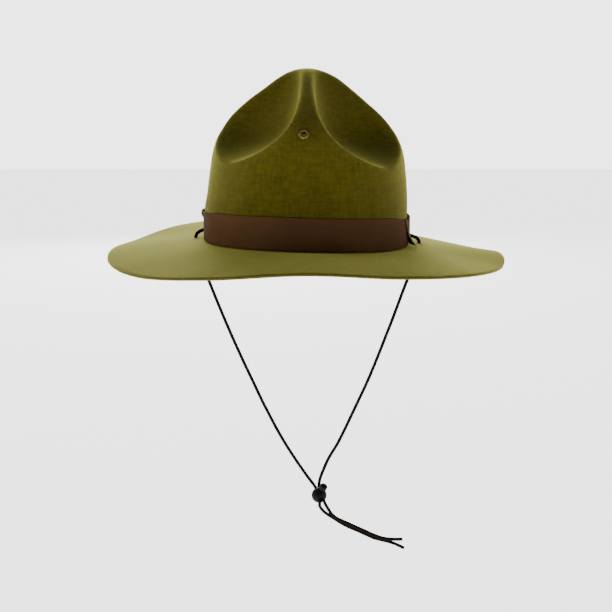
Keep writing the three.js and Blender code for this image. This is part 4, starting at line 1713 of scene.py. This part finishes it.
@dataclass
class StrapBand:
    """The strap band: a front strap, and a rear strap whose ends lie over it."""

    height: float = 0.025
    thickness: float = 0.001
    lift: float = 0.001
    side_droop: float = 0.002
    droop_tilt: float = 0.0005
    droop_start: float = 48.0
    droop_span: float = 26.0
    front_end: float = 100.0
    rear_right_end: float = 69.0
    rear_left_end: float = 263.5
    rear_rise: float = 0.001
    step_off: float = 16.0
    right_slant: float = 9.0
    right_flare: float = 0.0062
    right_curl: float = 3.3
    right_droop: float = 0.0014
    left_flare: float = 0.0036
    left_droop: float = 0.0025
    flare_span: float = 14.0
    lip_start: float = 0.5
    lip_span: float = 0.4
    lip_taper: float = 0.4
    corner: float = 0.0004
    bevel: float = 0.3
    levels: int = 12
    station: float = 1.2
    end_skin: float = 0.08
    ripple: float = 0.00012
    # Waves round the hat, radians over the strap's height and where the wave starts
    waves: tuple[Point, ...] = ((9.0, 5.0, 0.0), (17.0, -9.0, 1.0), (3.0, 26.0, 0.0))

    def _top_droop(self, degree: float) -> float:
        """Work out how far the top edge droops towards the sides.

        Args:
            degree: Bearing in degrees.

        Returns:
            The droop.
        """
        around = (degree + 180) % 360 - 180
        tilted = self.side_droop + self.droop_tilt * math.sin(math.radians(degree))
        return tilted * ease((abs(around) - self.droop_start) / self.droop_span)

    def _near_ends(self, degree: float) -> tuple[float, float]:
        """Work out how near a bearing is to the rear strap's two ends.

        Args:
            degree: Bearing in degrees.

        Returns:
            A share for the end at the picture's right and one for the end at its left.
        """
        right = ease(1 - (degree - self.rear_right_end) / self.flare_span)
        left = ease(1 - (self.rear_left_end - degree) / self.flare_span)
        return right, left

    def _offset(self, run: Run, degree: float, share: float) -> float:
        """Work out how far the strap stands off the felt's clearance.

        Args:
            run: Which strap.
            degree: Bearing in degrees.
            share: Share of the strap's height.

        Returns:
            The offset.
        """
        if run is Run.FRONT:
            return 0.0
        ends = self.front_end + self.step_off
        over = max(ease(gap / self.step_off) for gap in (ends - degree, degree - (360 - ends)))
        right, left = self._near_ends(degree)
        right_flare = self.right_flare * right * max(1 - share, 0.0)**self.right_curl
        lip = ease((share - self.lip_start) / self.lip_span) * (1 - self.lip_taper * share**4)
        return (self.thickness + CLEARANCE) * over + right_flare + self.left_flare * left * lip

    def _rise(self, run: Run, degree: float, share: float) -> float:
        """Work out how far the strap is raised, less the droop of its flared ends.

        Args:
            run: Which strap.
            degree: Bearing in degrees.
            share: Share of the strap's height.

        Returns:
            The rise.
        """
        if run is Run.FRONT:
            return 0.0
        right, left = self._near_ends(degree)
        return self.rear_rise - self.right_droop * right - self.left_droop * left * share

    def _shift(self, run: Run, degree: float, share: float) -> float:
        """Work out how far round the rear strap's slanting end is shifted, in degrees."""
        slant = 0.0 if run is Run.FRONT else self.right_slant
        return slant * self._near_ends(degree)[0] * (1 - share)

    def _section(self) -> Outline:
        """Lay out the strap's section.

        Returns:
            Its points: share of the height, and how far out through the thickness.
        """
        inner, outer = 0.0, self.thickness
        edge = self.corner / self.height
        side, bend = edge * self.bevel, self.corner * self.bevel
        flat = [(1 - 2 * edge) * i / self.levels for i in range(self.levels + 1)]
        rows = [(edge, inner), (side, inner + bend), (0, inner + self.corner)]
        rows += [(0, outer - self.corner), (side, outer - bend)]
        rows += [(edge + share, outer) for share in flat]
        rows += [(1 - side, outer - bend), (1, outer - self.corner)]
        rows += [(1, inner + self.corner), (1 - side, inner + bend)]
        rows += [(1 - edge - share, inner) for share in flat[:-1]]
        return rows

    def _wave(self, degree: float, share: float) -> float:
        """Work out the faint ripple of the strap's outer face.

        Args:
            degree: Bearing in degrees.
            share: Share of the strap's height.

        Returns:
            The ripple, never outwards.
        """
        turn = math.radians(degree)
        total = sum(math.sin(a * turn + b * share + start) for a, b, start in self.waves)
        return self.ripple * (total / len(self.waves) - 1) / 2

    def _strap(self, run: Run) -> bpy.types.Object:
        """Make one length of strap.

        Args:
            run: Which strap.

        Returns:
            The strap.
        """
        start, end = -self.front_end, self.front_end
        if run is Run.REAR:
            start, end = self.rear_right_end, self.rear_left_end
        section = self._section()
        inner = np.linspace(start, end, round((end - start) / self.station) + 1)
        degrees = [start, start + self.end_skin, *inner[1:-1], end - self.end_skin, end]
        stations = len(degrees) - 1
        points, edges, raw_end_and_highlight = [], [], []
        for i, degree in enumerate(degrees):
            full = self.height - self._top_droop(degree)
            for share, out in section:
                bearing = math.radians(degree + self._shift(run, degree, share))
                ripple = out / self.thickness * self._wave(degree, share)
                offset = CLEARANCE + self._offset(run, degree, share) + out + ripple
                level = float(FORM.break_height(bearing)) + self.lift + share * full
                level += self._rise(run, degree, share)
                points.append(FORM.foot(np.array(bearing), offset, level))
                # Marks for the darker edges, partly painted shade, and for the paler cut ends,
                # partly painted highlight
                edges.append(float(share <= 0 or share >= 1))
                raw_end_and_highlight.append(float(i in (0, stations)))
        ring = len(section)
        faces = []
        for i in range(stations):
            for k in range(ring):
                a, b = i * ring + k, i * ring + (k + 1) % ring
                faces.append((a, a + ring, b + ring, b))
        faces.append(tuple(range(ring)))
        faces.append(tuple(stations * ring + k for k in reversed(range(ring))))
        piece = mesh_object("strap_" + run.value, np.array(points), faces)
        store(piece, "edge", np.array(edges))
        store(piece, "raw_end_and_highlight", np.array(raw_end_and_highlight))
        return piece

    def build(self) -> None:
        """Make and dress both straps."""
        material = LeatherFinish().material()
        for run in Run:
            dress(self._strap(run), material, HAT, [run.value])


@dataclass
class CordLock:
    """The spring cord lock: a slotted ball and the plunger that its button pushes in."""

    place: LockPlace
    cord_diameter: float = 0.0024
    clearance: float = 0.00035
    travel: float = 0.002
    plunger_diameter: float = 0.0077
    plunger_floor: float = 0.001
    plunger_top: float = 0.0061
    neck_diameter: float = 0.0044
    neck_length: float = 0.0015
    button_diameter: float = 0.0066
    button_length: float = 0.0046
    # Radii of the plunger's outline, from the middle of its foot to the middle of the button
    roundings: tuple[float, ...] = (0.0, 0.0003, 0.0006, 0.0002, 0.0002, 0.0006, 0.0012, 0.0)
    edge: float = 0.0004
    slot_round: float = 0.9
    seam_height: float = 0.00007
    seam_width: float = 0.00022
    ball_steps: int = 30
    ball_sides: int = 72
    plunger_sides: int = 56
    sharp_angle: float = 35.0

    @property
    def slot_width(self) -> float:
        """Width of the slot that takes both cords."""
        return self.place.cord_spacing + self.cord_diameter + 2 * self.clearance

    @property
    def slot_height(self) -> float:
        """Height of the slot in the ball."""
        return self.cord_diameter + 2 * self.clearance

    @property
    def floor(self) -> float:
        """Height of the plunger's lower face from the ball's middle."""
        return self.place.cord_offset - self.slot_height / 2 - self.plunger_floor

    def _block(self, height: float, middle: float) -> bpy.types.Object:
        """Make a long block with rounded corners, which cuts the cord way.

        Args:
            height: Its height.
            middle: Its middle's height above the ball's.

        Returns:
            The block.
        """
        half_w, half_h = self.slot_width / 2, height / 2
        outline = [(-half_w, -half_h), (half_w, -half_h), (half_w, half_h), (-half_w, half_h)]
        section = rounded(outline, [self.slot_round * min(half_w, half_h)] * 4)
        half = self.place.diameter
        points = []
        for along in (-half, half):
            points += [self.place.point(across, along, middle + up) for across, up in section]
        ring = len(section)
        faces = [(k, (k + 1) % ring, ring + (k + 1) % ring, ring + k) for k in range(ring)]
        faces += [tuple(reversed(range(ring))), tuple(range(ring, 2 * ring))]
        block = mesh_object("slot", np.array(points), faces)
        form = bmesh.new()
        form.from_mesh(block.data)
        bmesh.ops.recalc_face_normals(form, faces=form.faces)
        form.to_mesh(block.data)
        form.free()
        return block

    def _ball(self) -> bpy.types.Object:
        """Make the ball with its pocket and slot, and the mould's faint parting line.

        Returns:
            The ball.
        """
        radius = self.place.diameter / 2
        mouth = self.plunger_diameter / 2 + CLEARANCE
        lip = math.asin(mouth / radius)
        bottom = self.floor - self.travel - self.clearance
        profile = [(0.0, bottom), (0.0, -radius)]
        for i in range(1, self.ball_steps + 1):
            turn = -math.pi / 2 + (math.pi - lip) * i / self.ball_steps
            seam = self.seam_height * math.exp(-((turn * radius / self.seam_width) ** 2))
            profile.append(((radius + seam) * math.cos(turn), (radius + seam) * math.sin(turn)))
        profile += [(mouth, radius * math.cos(lip) - self.edge), (mouth, bottom)]
        piece = turned(profile, self.place.button, self.place.centre, self.ball_sides, "lock_ball")
        cut(piece, [self._block(self.slot_height, self.place.cord_offset)])
        return piece

    def _plunger(self) -> bpy.types.Object:
        """Make the slotted plunger with its neck and button.

        Returns:
            The plunger.
        """
        body, neck = self.plunger_diameter / 2, self.neck_diameter / 2
        button, top = self.button_diameter / 2, self.plunger_top
        start = top + self.neck_length
        end = start + self.button_length
        outline = [(0.0, self.floor), (body, self.floor), (body, top), (neck, top),
                   (neck, start), (button, start), (button, end), (0.0, end)]
        section = rounded(outline, self.roundings)
        axis, centre = self.place.button, self.place.centre
        piece = turned(section, axis, centre, self.plunger_sides, "lock_button")
        opening = self.slot_height + self.travel
        middle = self.place.cord_offset - self.slot_height / 2 + opening / 2
        cut(piece, [self._block(opening, middle)])
        return piece

    def build(self) -> None:
        """Make and dress the ball and the plunger."""
        material = PlasticFinish().material()
        ball = dress(self._ball(), material, HAT, ["lock_barrel"])
        plunger = dress(self._plunger(), material, BUTTON, ["lock_plunger"])
        for piece in (ball, plunger):
            piece.data.set_sharp_from_angle(angle=math.radians(self.sharp_angle))


def main() -> None:
    """Build the hat piece by piece, then its studio."""
    logging.basicConfig(level=logging.INFO, format="%(name)s: %(message)s")
    studio = Studio()
    studio.set_camera()
    place = LockPlace()
    cord = ChinCord(place)
    cord.build()
    seat = EyeletSeat()
    FeltBody().build(seat, cord)
    StrapBand().build()
    Eyelet().build(seat)
    CordLock(place).build()
    studio.lay_floor()
    studio.light()


if __name__ == "__main__":
    main()
